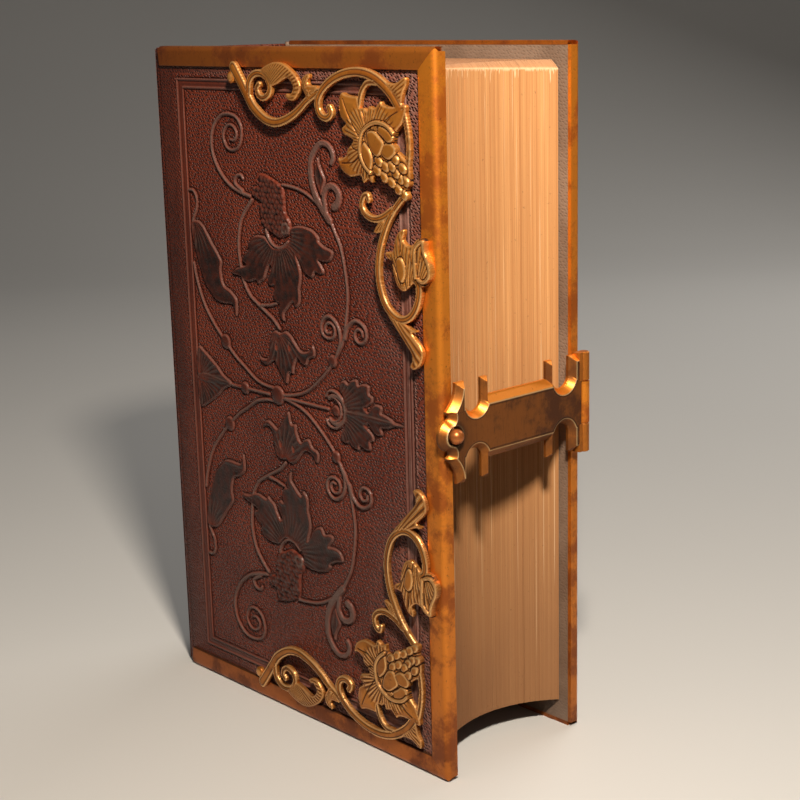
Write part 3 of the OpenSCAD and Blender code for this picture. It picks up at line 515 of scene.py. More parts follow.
for flip in (False, True):
    # Main stem and the tendrils that curl off it
    stem([(512, 338), (556, 342), (595, 352), (634, 372), (668, 397), (693, 434), (713, 475), (727, 559),
          (719, 626), (707, 671), (690, 699), (651, 747), (595, 794), (556, 816), (512, 828), (470, 834)],
          flip=flip)
    stem([(685, 705), (696, 682), (697, 660), (690, 641), (676, 628), (659, 622), (642, 630), (633, 646),
          (636, 663), (646, 671), (662, 673), (676, 666), (680, 652), (674, 641), (661, 637), (650, 642),
          (646, 654), (654, 662), (664, 659)], 1.3, 0.8, flip)
    stem([(713, 666), (721, 643), (735, 628), (752, 621), (771, 626), (784, 638), (786, 654), (777, 667),
          (760, 670), (748, 660), (748, 648), (758, 639), (771, 643), (774, 654)], 1.3, 0.8, flip)
    stem([(391, 372), (358, 366), (324, 355), (296, 338), (271, 313), (254, 282), (250, 251), (257, 223),
          (274, 201), (299, 187), (330, 186), (355, 195), (369, 215), (368, 238), (358, 257), (338, 268),
          (316, 266), (302, 251), (299, 232), (310, 215), (327, 210), (344, 218), (350, 234), (338, 246),
          (324, 244)], 1.2, 0.8, flip)
    stem([(362, 361), (335, 345), (342, 328), (360, 325), (366, 333)], 1.2, 1.0, flip)
    stem([(397, 380), (374, 402), (352, 430), (341, 464), (337, 498), (341, 531), (346, 560), (355, 582),
          (374, 607), (402, 624), (434, 641), (458, 654), (481, 674)], 1.1, 1.1, flip)
    stem([(417, 626), (447, 622), (473, 615)], 1.1, 0.8, flip)
    stem([(447, 820), (414, 818), (380, 809), (341, 786), (307, 766), (279, 744), (246, 716), (218, 688),
          (193, 658), (173, 621), (159, 582), (152, 550)], flip=flip)
    stem([(150, 372), (167, 374), (178, 391), (176, 414), (167, 430), (157, 446)], flip=flip)
    # Broad scrolls at the fore-edge side
    stem([(675, 407), (650, 381), (630, 355), (619, 329), (615, 302), (618, 276), (629, 258), (646, 242),
          (661, 238), (678, 242), (690, 254), (694, 269), (687, 280)], 2.3, 1.5, flip, 0.7)
    stem([(664, 396), (661, 374), (658, 355), (666, 338), (679, 330), (694, 332), (706, 342), (709, 355),
          (703, 368), (692, 375)], 1.3, 2.4, flip, 0.7)
    stem([(652, 810), (668, 803), (686, 805), (702, 817), (709, 838)], 1.2, 1.6, flip, 0.7)
    # Bud, vine leaf and the bunch of grapes over it with its tendril
    leaf([(644, 267), (647, 287), (661, 310), (664, 321), (655, 340), (650, 355), (638, 336), (630, 314),
          (633, 291)], (652, 372), 24, flip)
    leaf([(535, 438), (549, 430), (573, 427), (602, 430), (623, 438), (637, 451), (634, 455), (652, 466),
          (681, 474), (678, 488), (667, 498), (646, 501), (631, 499), (643, 513), (649, 526), (634, 530),
          (618, 526), (608, 540), (596, 539), (579, 529), (567, 511), (555, 496), (558, 505), (567, 532),
          (565, 555), (560, 570), (561, 587), (558, 605), (543, 617), (536, 603), (511, 623), (499, 637),
          (502, 655), (488, 646), (482, 628), (485, 614), (473, 611), (463, 596), (469, 573), (453, 576),
          (445, 561), (453, 546), (461, 532), (453, 527), (441, 543), (432, 561), (417, 570), (407, 577),
          (400, 567), (376, 574), (356, 573), (335, 564), (306, 562), (321, 549), (341, 543), (365, 535),
          (351, 527), (353, 517), (367, 505), (379, 496), (373, 488), (385, 474), (400, 464), (423, 461),
          (444, 464), (458, 476), (476, 485), (499, 482), (523, 473), (538, 452)], (486, 452), 46, flip)
    bunch([(429, 317), (455, 319), (476, 326), (499, 335), (514, 344), (519, 361), (521, 400), (532, 414),
           (538, 426), (535, 444), (517, 455), (491, 461), (464, 449), (444, 441), (432, 429), (429, 411),
           (426, 394), (429, 379), (409, 376), (400, 364), (403, 350), (420, 347), (429, 338)], flip)
    stem([(447, 444), (453, 461), (467, 476), (485, 483), (505, 480), (526, 466)], 1.0, 0.8, flip, 0.8)
    stem([(528, 447), (533, 436), (524, 426), (511, 429), (508, 441), (516, 449), (523, 441)],
          1.0, 0.8, flip, 0.9)
    # Lesser leaves at the middle and along the border
    leaf([(448, 691), (465, 680), (484, 684), (504, 677), (523, 686), (536, 700), (556, 717), (578, 715),
          (592, 707), (598, 695), (606, 707), (604, 723), (584, 731), (573, 748), (556, 744), (542, 735),
          (529, 756), (526, 775), (510, 775), (501, 803), (487, 789), (476, 775), (465, 761), (454, 753),
          (428, 767), (409, 764), (396, 745), (406, 753), (426, 753), (440, 742), (441, 717)], (474, 676),
          30, flip)
    leaf([(150, 453), (173, 445), (195, 453), (215, 475), (234, 498), (254, 520), (266, 537), (262, 559),
          (271, 593), (296, 604), (318, 621), (321, 640), (316, 666), (305, 638), (268, 638), (240, 635),
          (223, 621), (201, 602), (184, 570), (173, 542), (162, 514), (154, 486)], (160, 436), 34, flip)
    leaf([(150, 762), (175, 768), (200, 782), (228, 800), (250, 818), (285, 836), (240, 842), (150, 842)],
          (150, 838), 34, flip)
    leaf([(704, 838), (704, 806), (690, 785), (692, 769), (708, 763), (719, 769), (730, 759), (750, 755),
          (754, 767), (770, 761), (790, 763), (789, 781), (801, 786), (798, 800), (778, 814), (785, 823),
          (796, 811), (811, 801), (831, 805), (827, 818), (836, 820), (856, 825), (876, 834), (900, 838),
          (800, 842)], (672, 838), 48, flip)
    # Pierced eyes in the leaves, grapes on the stems and the scroll beside the middle
    opening((777, 816), 0.95, 0.6, flip)
    opening((466, 718), 0.55, 1.2, flip)
    opening((514, 714), 0.55, 1.2, flip)
    bead((668, 724), 1.8, flip)
    bead((266, 733), 2.3, flip, 0.75)
    stem([(642, 808), (652, 796), (670, 793), (690, 801), (704, 817), (708, 838)], 0.9, 0.9, flip, 0.85)
    stem([(652, 814), (664, 808), (680, 812), (692, 824), (694, 838)], 0.8, 0.8, flip, 0.8)
# The row across the middle, where the two halves meet
stem([(430, 838), (336, 838), (285, 838)])
stem([(492, 838), (560, 838), (648, 838)])
bead((336, 838), 1.9)
bead((463, 836), 2.9, high=1.0)
bead((674, 838), 1.6, high=0.6)
x, z = vine.x[:, None], vine.z[None, :]
fillet_wide, fillets = 0.6, []
for low, high in (((120, 1555), (928, 109)), ((143, 1536), (904, 128))):
    a, b = view([low, high])
    beside = np.abs(x - (a[0] + b[0]) / 2) - (b[0] - a[0]) / 2
    above = np.abs(z - (a[1] + b[1]) / 2) - (b[1] - a[1]) / 2
    fillets.append(np.maximum(beside, above))
    line = np.abs(fillets[-1]) - fillet_wide / 2
    height = np.maximum(height, np.where(nearest > 0, 0.34 * dome(-line, fillet_wide / 2), 0))
    nearest = np.minimum(nearest, line)
    # Fillets rubbed pale, with a painted highlight.
    rub_and_highlight = np.where(np.abs(fillets[-1]) < fillet_wide / 2, 0.6, rub_and_highlight)
lane = np.minimum(-fillets[0], fillets[1])
flat = np.maximum(ease(-nearest, -0.45, 0.0), ease(lane, -0.1, 0.3))
flat = np.maximum(flat, 0.55 * (1 - ease(vine.x, 8.5, 11.5))[:, None])
moat = soft_line(nearest, -0.26, 0.26) * (nearest > 0)
height -= 0.16 * moat
# Painted shade: a dark ring in the groove round each form and a darker strip along the spine edge; the lane
# between the fillets is darker too.
stain_and_shade = np.maximum(stain_and_shade, 0.65 * moat)
stain_and_shade = np.maximum(stain_and_shade, 0.5 * ease(lane, 0.2, 0.5))
stain_and_shade = np.maximum(stain_and_shade, 0.72 * (1 - ease(vine.x, 7.5, 11.0))[:, None])
# Dust with painted sheen on the pebble tops, toward the fore-edge and near the head and tail.
off_middle = np.abs(vine.z - COVER_HIGH / 2)[None, :]
fore_dust_and_sheen = 0.6 * ease(vine.x, 88, 118)[:, None] * ease(off_middle, 12, 50)
end_dust_and_sheen = 0.4 * ease(off_middle, 86, 92) * ease(vine.x, 25, 50)[:, None]
dust_and_sheen = np.clip(fore_dust_and_sheen + end_dust_and_sheen, 0, 0.7)
# The fine grid is thinned where the ground is plain, and each point left takes its values from the grid.
leather_y = 1.0
fine_points = np.stack(np.broadcast_arrays(x, leather_y - height, z), -1).reshape(-1, 3)
n, m = height.shape
corner = (np.arange(n - 1)[:, None] * m + np.arange(m - 1)[None, :]).ravel()
fine_mesh = bpy.data.meshes.new("relief_grid")
quads = np.stack([corner, corner + m, corner + m + 1, corner + 1], 1)
fine_mesh.from_pydata(fine_points, [], quads.tolist())
fine_grid = bpy.data.objects.new("relief_grid", fine_mesh)
bpy.context.scene.collection.objects.link(fine_grid)
fine_grid.modifiers.new("thin", "DECIMATE").ratio = 0.33
thinned = fine_grid.evaluated_get(bpy.context.evaluated_depsgraph_get()).to_mesh()
points = np.zeros(len(thinned.vertices) * 3)
thinned.vertices.foreach_get("co", points)
points = points.reshape(-1, 3)
faces = [tuple(polygon.vertices) for polygon in thinned.polygons]
fine_grid.to_mesh_clear()
bpy.data.objects.remove(fine_grid)
bpy.data.meshes.remove(fine_mesh)
i = np.clip(np.rint((points[:, 0] - vine.x[0]) / vine.step).astype(int), 0, n - 1)
j = np.clip(np.rint((points[:, 2] - vine.z[0]) / vine.step).astype(int), 0, m - 1)
values = {"flat": flat[i, j], "stain_and_shade": stain_and_shade[i, j], "rub_and_highlight": rub_and_highlight[i, j], "dust_and_sheen": dust_and_sheen[i, j]}
piece("front_relief", points, faces, cover_leather, "front_cover", ["front_leather"], 75, values)

# Turned leather: the same sheet rolled round the board's spine edge, drawn over its ends and turned in
# round the pasted paper on the inner face, where its flesh side is bare and greyish. The back cover's
# leather is plain with two fillets and keeps its CAD form.
front_hide = leather("front_turned_leather", spine_pale, spine_deep, 0.5, 1.0)
back_hide = leather("back_leather", (0.185, 0.037, 0.017, 1), (0.125, 0.023, 0.01, 1), 0.9, -1.0)
roll_x, roll_y, roll_depth, inner_y, edge_y = 1.5, 2.4, 1.4, 3.8, 1.15
arc = np.linspace(0, math.pi, 15)
roll = [(roll_x - roll_x * math.sin(a), roll_y - roll_depth * math.cos(a)) for a in arc]
profile = [(2.4, leather_y)] + roll + [(4.0, inner_y)]
roll_ends = [(0.5, 0.86), (0.62, 0.95), (0.9, 1.0), (1.4, 1.0)]
levels = roll_ends + [(z, 1.0) for z in np.linspace(8, 192, 24)]
levels += [(COVER_HIGH - z, share) for z, share in roll_ends[::-1]]
points = []
for z, share in levels:
    points += [(roll_x + (x - roll_x) * share, roll_y + (y - roll_y) * share, z) for x, y in profile]
size = len(profile)
faces = grid_faces(len(levels), size)
faces += [tuple(range(size)), tuple(range((len(levels) - 1) * size, len(levels) * size))[::-1]]
start = len(points)
paste_low, paste_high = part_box("front_pastedown")
turn_in = [(3.0, 1.2), (122.8, 1.2), (122.8, 198.8), (3.0, 198.8)]
paste_x0, paste_x1 = (paste_low.x - BOOK_CORNER[0]) * MM, (paste_high.x - BOOK_CORNER[0]) * MM
paste_z0, paste_z1 = paste_low.z * MM, paste_high.z * MM
paste = [(paste_x0, paste_z0), (paste_x1, paste_z0), (paste_x1, paste_z1), (paste_x0, paste_z1)]
for corners, y in ((turn_in, inner_y), (paste, inner_y), (turn_in, edge_y)):
    points += [(x, y, z) for x, z in corners]
for k in range(4):
    o = (k + 1) % 4
    faces.append((start + k, start + o, start + 4 + o, start + 4 + k))
    faces.append((start + o, start + k, start + 8 + k, start + 8 + o))
piece("front_wrap", points, faces, front_hide, "front_cover", (), 40)
dress("back_leather", back_hide)

# Rims: brass rails of an angle section, fitted over three edges of each cover and mitred at the fore-edge
# corners. The outer edge is rounded and the lip rolled down to the leather, with a line of painted shadow
# beside it. Painted shade turns the end rails brown, most toward the spine, and the fore rails darker
# toward the tail; elsewhere the fore rails stay orange.
tree, at, result = group("Brass patina", ("Blotch", "Fleck", "Scratch", "Height"))
pits = noise(tree, at, 720.0, 4.0, 0.7)
drawn = {"Vector": stretched(tree, at, (0.5, 6.0, 0.16)), "Scale": 900.0, "Detail": 4.0, "Distortion": 1.4}
drawn_lines = add(tree, "ShaderNodeTexNoise", drawn).outputs["Fac"]
dents = maths(tree, "MULTIPLY", noise(tree, at, 210.0, 3.0), 0.7)
feed(tree, result, {
    "Blotch": between(tree, noise(tree, at, 95.0, 7.0, 0.66), 0.4, 0.66),
    "Fleck": between(tree, pits, 0.6, 0.72),
    "Scratch": between(tree, drawn_lines, 0.58, 0.7),
    "Height": maths(tree, "ADD", dents, maths(tree, "MULTIPLY", pits, 0.3)),
})


def brass(name, bright, brown, tarnish, shine, least=0.35, shade_colours=None):
    """Old brass, brown with tarnish in the hollows and bright where worn, with painted highlights on edges
    and up-facing bevels, and dirt and painted shade in dark places.
    """
    burnish_and_highlight_colour, black_dirt_and_shade = (0.95, 0.68, 0.34, 1), (0.02, 0.008, 0.004, 1)
    made, tree, bsdf, where = material(name)
    old = use(tree, "Brass patina", where)
    cover = maths(tree, "MULTIPLY", between(tree, old["Blotch"], 0.0, 1.0, least, 1.0), tarnish)
    cover = maths(tree, "ADD", cover, maths(tree, "MULTIPLY", old["Scratch"], 0.2), True)
    # Wear, and painted light where bevels face up, take the tarnish off.
    cover = maths(tree, "SUBTRACT", cover, kept(tree, "wear_and_painted_light"), True)
    colour = mixed(tree, cover, bright, brown)
    if shade_colours:
        # Painted shade: the end rails, the fore rails toward the tail and the tail mount take darker
        # colours.
        colour = mixed(tree, kept(tree, "painted_shade"), colour, mixed(tree, cover, *shade_colours))
    # Burnish and painted highlight on edges and crests.
    colour = mixed(tree, kept(tree, "burnish_and_highlight"), colour, burnish_and_highlight_colour)
    # Dirt and painted shade: black in flecks, cut lines, along the rail lips and in the clasp's dark places.
    grime_and_shade = maths(tree, "ADD", kept(tree, "dirt_and_shade"), maths(tree, "MULTIPLY", old["Fleck"], 0.5), True)
    colour = mixed(tree, grime_and_shade, colour, black_dirt_and_shade)
    metal = between(tree, maths(tree, "MAXIMUM", cover, grime_and_shade), 0.0, 1.0, 0.7, 0.55)
    matt = between(tree, cover, 0.0, 1.0, shine, shine + 0.16)
    rough = maths(tree, "ADD", matt, maths(tree, "MULTIPLY", grime_and_shade, 0.3), True)
    bump = bumped(tree, 0.2, 0.0004, old["Height"])
    feed(tree, bsdf, {"Base Color": colour, "Metallic": metal, "Roughness": rough, "Normal": bump})
    return made


rim_shade_colours = ((0.36, 0.1, 0.022, 1), (0.15, 0.037, 0.01, 1))
rim_brass = brass("rim_brass", (1.0, 0.33, 0.03, 1), (0.46, 0.115, 0.01, 1), 1.0, 0.36, 0.1, rim_shade_colours)
fore_wide, end_wide, rail_start = 6.8, 6.0, 3.2
rail_round, rail_wall, rail_deep, rail_under, lip_round = 1.6, 1.2, 3.8, 1.05, 0.5


def rail(name, node, body, width, across, start, end, place, far_painted_shade, near_painted_shade):
    quarter = np.linspace(0, math.pi / 2, 11)
    round_edge = [(rail_round * (1 - math.cos(a)), rail_round * (1 - math.sin(a))) for a in quarter]
    slope = np.linspace(2.0, width - 0.6, 8)
    face = [(u, 0.3 * ((u - rail_round) / (width - rail_round)) ** 2) for u in slope]
    roll_down = np.linspace(0.3, math.pi / 2, 5)
    lip = [(width - lip_round + lip_round * math.sin(a), 0.75 - lip_round * math.cos(a)) for a in roll_down]
    profile = [(0.0, rail_deep), (0.0, 2.6)] + round_edge + face + lip
    profile += [(width, rail_under), (rail_wall, rail_under), (rail_wall, rail_deep)]
    steps, corner_round = 40, 1.2
    points, painted_shade, dirt_and_shade = [], [], []
    for k in range(steps + 1):
        for u, v in profile:
            mitre = u * across / width + 0.03
            if u < corner_round:
                rounded = math.sqrt(corner_round**2 - (corner_round - u) ** 2)
                mitre = max(mitre, corner_round - rounded)
            low, high = (mitre if start is None else start), end - mitre
            points.append(place(u, v, low + (high - low) * k / steps))
            # Painted shade along the rail, growing toward one end.
            painted_shade.append(far_painted_shade + (near_painted_shade - far_painted_shade) * math.sqrt(k / steps))
            # A line of painted shadow along the lip, where the rail meets the leather.
            dirt_and_shade.append(0.85 if u > width - 0.3 else 0.0)
    size = len(profile)
    faces = grid_faces(steps + 1, size, closed=True)
    faces += [tuple(range(size))[::-1], tuple(range(steps * size, (steps + 1) * size))]
    axes = np.array([place(1, 0, 0), place(0, 1, 0), place(0, 0, 1)]) - np.array(place(0, 0, 0))
    if np.linalg.det(axes) > 0:
        faces = [face[::-1] for face in faces]
    piece(name, points, faces, rim_brass, body, [node], 35, {"painted_shade": painted_shade, "dirt_and_shade": dirt_and_shade})


for side, outer, inward in (("front", 0.0, 1.0), ("back", BOOK_DEEP, -1.0)):
    body = side + "_cover"
    rail(side + "_fore_rail", side + "_rim_fore", body, fore_wide, end_wide, None, COVER_HIGH,
         lambda u, v, w: (COVER_WIDE - u, outer + inward * v, w), 0.85, 0.0)
    rail(side + "_head_rail", side + "_rim_head", body, end_wide, fore_wide, rail_start, COVER_WIDE,
         lambda u, v, w: (w, outer + inward * v, COVER_HIGH - u), 1.0, 0.6)
    rail(side + "_tail_rail", side + "_rim_tail", body, end_wide, fore_wide, rail_start, COVER_WIDE,
         lambda u, v, w: (w, outer + inward * v, u), 1.0, 0.85)

# Corner mounts: pierced brass castings of vine scrolls, with a leaf and grapes at the corner and a
# flower over the fore rim, held by spigots through the leather into the board. Edges are rounded and
# rubbed and carry painted highlights, a line is cut along each side of the scrolls, and the cut lines
# and hollows hold dirt and painted shade.
mount_shade_colours = ((0.6, 0.22, 0.034, 1), (0.17, 0.052, 0.009, 1))
mount_bright, mount_brown = (0.95, 0.37, 0.055, 1), (0.46, 0.125, 0.011, 1)
mount_brass = brass("mount_brass", mount_bright, mount_brown, 1.0, 0.27, 0.65, mount_shade_colours)
mount = Sheet((37.5, 114.5), (124.6, 197.5), 0.2)
outline, form, dirt_and_shade, burnish_and_highlight = mount.full(9.0), mount.full(), mount.full(), mount.full()


def plate(sheet, distance, height, to_book, values):
    """A plate cut out along distance 0, with its front at height and a flat back at 0."""
    gx, gz = np.gradient(distance, sheet.step)
    steep = np.maximum(gx**2 + gz**2, 0.25)
    edge = np.abs(distance) < sheet.step * 1.1
    x = np.where(edge, sheet.x[:, None] - distance * gx / steep, sheet.x[:, None])
    z = np.where(edge, sheet.z[None, :] - distance * gz / steep, sheet.z[None, :])
    keep = distance < sheet.step * 0.45
    cell = keep[:-1, :-1] & keep[1:, :-1] & keep[1:, 1:] & keep[:-1, 1:]
    used = np.zeros(keep.shape, bool)
    for i, j in ((0, 0), (1, 0), (1, 1), (0, 1)):
        used[i : used.shape[0] - 1 + i, j : used.shape[1] - 1 + j] |= cell
    number = np.cumsum(used.ravel()).reshape(used.shape) - 1
    count = int(used.sum())
    ci, cj = np.nonzero(cell)
    quads = np.stack([number[ci, cj], number[ci + 1, cj], number[ci + 1, cj + 1], number[ci, cj + 1]], 1)
    front = np.stack([x[used], height[used], z[used]], 1)
    rear = np.stack([x[used], np.zeros(count), z[used]], 1)
    edges = np.vstack([quads[:, pair] for pair in ((0, 1), (1, 2), (2, 3), (3, 0))])
    key = edges.min(1) * count + edges.max(1)
    _, first, seen = np.unique(key, return_index=True, return_counts=True)
    rim = edges[first[seen == 1]]
    walls = np.stack([rim[:, 1], rim[:, 0], rim[:, 0] + count, rim[:, 1] + count], 1)
    points = to_book(np.vstack([front, rear]))
    faces = np.vstack([quads, quads[:, ::-1] + count, walls])
    return points, faces, {key: np.concatenate([v[used], v[used]]) for key, v in values.items()}


def cast(window, far, high, soil_and_shade, bright):
    raised = (far < 0.15) & (high > form[window])
    form[window] = np.where(raised, high, form[window])
    dirt_and_shade[window] = np.where(raised, soil_and_shade, dirt_and_shade[window])
    burnish_and_highlight[window] = np.where(raised, bright, burnish_and_highlight[window])
    outline[window] = np.minimum(outline[window], far)


def overlay(window, far, high, cut_wide=0.32):
    inside = far < 0
    cut = (far >= 0) & (far < cut_wide) & (outline[window] < 0)
    sunk = form[window] - 0.35 * (1 - far / cut_wide)
    form[window] = np.where(inside, high, np.where(cut, sunk, form[window]))
    # The cut round the piece holds dirt and painted shade.
    dirt_and_shade[window] = np.where(inside, 0.1, np.where(cut, 0.95, dirt_and_shade[window]))
    # Painted highlight just inside the edge.
    burnish_and_highlight[window] = np.where(inside, soft_line(far, 0.3, 0.17), np.where(cut, 0.0, burnish_and_highlight[window]))
    outline[window] = np.minimum(outline[window], far)


def scroll(pixels, start, end):
    line = spline(view(pixels))
    window, x, z = mount.window(line, 2.5)
    far = stroke_distance(line, x, z, start, end)
    groove = soft_line(far, 0.66, 0.16)
    high = 0.7 + 0.75 * dome(-far, 0.95) - 0.24 * groove
    # Painted highlight along both edges of the scroll.
    cast(window, far, high, 0.8 * groove, 0.9 * soft_line(far, 0.3, 0.18))


def ring(pixels, width, level):
    line = spline(view(pixels))
    window, x, z = mount.window(line, 2.5)
    far = stroke_distance(line, x, z, width, width)
    overlay(window, far, level + 0.4 * dome(-far, width / 2))


def petal(pixels, level):
    loop = spline(view(pixels), 4, True)
    window, x, z = mount.window(loop, 2.5)
    far = shape_distance(loop, x, z)
    overlay(window, far, level + 0.55 * dome(-far, 1.1))


def grape(centre, level, long=1.75, wide=1.2):
    hub = view([centre])
    window, x, z = mount.window(hub, long + 1)
    dx, dz = x - hub[0][0], z - hub[0][1]
    far = (np.hypot((0.75 * dx - 0.66 * dz) / long, (0.66 * dx + 0.75 * dz) / wide) - 1) * wide
    overlay(window, far, level + 0.6 * dome(-far, 0.9))


def blade(pixels, hub, lines, lift=0.0, veins=(), hatched=30.0):
    loop = spline(view(pixels), 4, True)
    window, x, z = mount.window(loop, 2.5)
    far = shape_distance(loop, x, z)
    centre = view([hub])[0]
    turn, reach = np.arctan2(z - centre[1], x - centre[0]), np.hypot(x - centre[0], z - centre[1])
    hatch = np.cos(lines * turn)
    groove = np.zeros(far.shape)
    for vein in veins:
        beside_vein, _ = line_distance(spline(view(vein)), x, z)
        groove = np.maximum(groove, soft_line(beside_vein, 0.0, 0.2))
    inner = ease(-far, 0.35, 0.8)
    cut = ease(hatch, 0.3, 0.9) * inner * ease(reach, 0.8, 2.2) * (1 - ease(reach, hatched, hatched + 1.5))
    high = 0.75 + lift + 0.6 * dome(-far, 0.8) + 0.25 * ease(-far, 0.6, 2.2) - 0.16 * cut - 0.4 * groove
    soil_and_shade = np.maximum(0.7 * cut, 0.95 * groove) * ease(-far, 0.1, 0.4)
    # Painted glints on the hatch ridges and along the edge.
    ridges = 0.7 * ease(-hatch, 0.3, 0.9) * ease(cut + 0.2 * (reach < hatched), 0.1, 0.2) * inner
    cast(window, far, high, soil_and_shade, np.maximum(ridges, 0.55 * soft_line(far, 0.28, 0.16)))


def berry(centre, radius):
    hub = view([centre])
    window, x, z = mount.window(hub, radius + 1)
    far = np.hypot(x - hub[0][0], z - hub[0][1]) - radius
    # Painted highlight on the berry.
    cast(window, far, 0.75 + 0.95 * dome(-far, radius), np.zeros(far.shape), 0.4 * ease(-far, 0.3, 0.9))


# Head branch: its tip, berry, coil, hood and spur, then the bough with its stalk and wing
scroll([(368, 78), (393, 110), (413, 137), (433, 163), (460, 183), (487, 195), (517, 198), (547, 192),
        (577, 180), (603, 165), (627, 148), (650, 136), (668, 126)], 3.3, 1.9)
berry((358, 101), 1.65)
scroll([(420, 144), (423, 113), (440, 95), (463, 90), (487, 98), (500, 120), (493, 137), (473, 145),
        (457, 137), (453, 123), (461, 115)], 2.2, 1.7)
blade([(470, 84), (500, 70), (527, 65), (553, 69), (575, 80), (593, 93), (606, 110), (608, 122), (597, 137),
       (583, 148), (565, 147), (556, 140), (560, 133), (572, 135), (580, 128), (583, 118), (575, 106),
       (563, 100), (548, 104), (527, 113), (505, 117), (484, 104)], (450, 150), 110)
blade([(613, 115), (618, 98), (637, 89), (641, 97), (634, 104), (638, 113), (655, 114), (666, 117),
       (652, 138), (634, 148), (624, 134)], (640, 150), 60)
scroll([(703, 160), (708, 172), (694, 182), (676, 178), (665, 164), (666, 143), (680, 124), (705, 106),
        (735, 93), (770, 85), (808, 84), (845, 92), (880, 110), (908, 133), (932, 165)], 2.0, 3.0)
scroll([(800, 152), (808, 126), (828, 106), (860, 104)], 1.5, 1.7)
blade([(882, 104), (915, 105), (945, 92), (949, 106), (938, 124), (930, 146), (910, 128)], (800, 190), 120)
# Corner leaf with its veins, the bed of the grapes, the grapes and the ringed cup of petals
corner_veins = [[(812, 232), (775, 182), (752, 140)], [(818, 222), (822, 185), (812, 164)], [(832, 210),
                (850, 180), (868, 152)], [(846, 214), (890, 178), (938, 156)], [(806, 244), (780, 242),
                (742, 205)], [(806, 256), (780, 272), (742, 276)], [(814, 270), (806, 290), (812, 308)]]
blade([(739, 142), (748, 127), (761, 131), (784, 134), (799, 136), (803, 157), (818, 157), (829, 164),
       (834, 153), (851, 157), (862, 149), (870, 142), (877, 149), (903, 153), (926, 149), (945, 148),
       (946, 161), (933, 187), (915, 204), (905, 232), (870, 270), (842, 295), (838, 312), (825, 306),
       (810, 314), (801, 299), (769, 303), (747, 295), (732, 280), (730, 265), (739, 267), (758, 258),
       (761, 247), (780, 228), (769, 220), (747, 213), (745, 202), (758, 191), (741, 176)], (836, 228),
       46, 0.1, corner_veins, 10.0)
blade([(836, 262), (860, 250), (890, 245), (915, 243), (935, 255), (952, 270), (955, 300), (945, 320),
       (945, 338), (930, 342), (915, 328), (895, 318), (862, 300), (845, 288)], (880, 230), 8, hatched=0.0)
scroll([(938, 160), (948, 200), (951, 235), (947, 270), (936, 300)], 1.7, 1.7)
for spot in [(937, 331), (921, 321), (943, 303), (927, 299), (901, 308), (935, 277), (914, 288), (878, 298),
             (902, 275), (857, 285), (882, 276), (913, 259), (862, 266)]:
    grape(spot, 1.3)
petal([(880, 230), (899, 226), (915, 234), (914, 249), (894, 261), (875, 254), (871, 241)], 1.4)
petal([(870, 191), (896, 199), (910, 211), (907, 223), (892, 226), (877, 215), (863, 205)], 1.45)
petal([(830, 207), (850, 203), (869, 215), (881, 228), (873, 246), (863, 256), (848, 252), (836, 237),
       (830, 222)], 1.5)
petal([(818, 228), (829, 235), (840, 248), (845, 265), (839, 285), (827, 282), (814, 264), (811, 244)], 1.55)
ring([(836, 291), (818, 276), (806, 254), (806, 230), (814, 208), (832, 194), (856, 186), (880, 188),
      (897, 195), (909, 206)], 1.15, 1.7)
# Scroll down the fore rim with its side hook and spur, the flower over the rim and the tail leaf
scroll([(930, 338), (903, 364), (881, 392), (861, 431), (850, 465), (846, 499), (850, 532), (864, 566),
        (887, 588), (915, 597), (943, 588), (962, 566), (972, 538), (971, 515), (959, 504)], 1.9, 2.2)
scroll([(897, 367), (864, 384), (836, 389), (811, 381), (799, 364), (805, 345), (817, 339), (822, 350)],
        2.2, 1.5)
blade([(862, 388), (836, 417), (859, 415), (876, 402)], (880, 380), 40)
blade([(874, 456), (877, 467), (892, 474), (896, 497), (907, 523), (926, 534), (945, 523), (967, 501),
       (967, 467), (963, 433), (945, 437), (928, 426), (933, 411), (930, 403), (915, 411), (903, 430),
       (896, 452)], (935, 560), 70, 0.05, [[(935, 530), (930, 480), (918, 425)], [(945, 520), (952, 480),
       (950, 445)], [(920, 520), (905, 490), (885, 462)]])
blade([(962, 430), (993, 418), (995, 441), (1010, 471), (1015, 486), (1006, 504), (993, 517), (974, 515),
       (964, 490)], (965, 540), 60, 0.1, [[(975, 510), (985, 470), (986, 430)]])
blade([(870, 584), (915, 633), (943, 661), (948, 680), (940, 695), (954, 699), (973, 686), (981, 661),
       (971, 644), (948, 622), (965, 616), (943, 611), (915, 598)], (860, 560), 60)
petal([(910, 470), (924, 462), (936, 476), (938, 500), (926, 516), (914, 500)], 1.5)
ring([(968, 500), (966, 470), (968, 440), (990, 424), (994, 444), (1008, 474), (1008, 494), (992, 508),
      (976, 504)], 1.1, 1.6)
# High places worn bright, brightened more by the painted highlights.
wear_and_painted_light = np.clip(0.3 * ease(form, 1.2, 1.75) + 0.7 * burnish_and_highlight, 0, 1) * (1 - dirt_and_shade)
# Dirt and painted shade in the cut lines and on the low parts of the casting.
soil_and_shade = np.clip(dirt_and_shade + 0.8 * ease(-form, -0.95, -0.6) * (outline < 0), 0, 1)
# The tail mount is darkened with painted shade, the head one a little.
for side, painted_shade_level in (("head", 0.15), ("tail", 0.75)):
    values = {"wear_and_painted_light": wear_and_painted_light, "dirt_and_shade": soil_and_shade, "burnish_and_highlight": 0.6 * burnish_and_highlight, "painted_shade": mount.full(painted_shade_level)}
    points, faces, values = plate(mount, outline, form, lambda p: p * (1, -1, 1), values)
    if side == "tail":
        points[:, 2] = COVER_HIGH - points[:, 2]
        faces = faces[:, ::-1]
    node = "corner_mount_" + side
    piece(node + "_cast", points, faces, mount_brass, "front_cover", [node], 50, values)

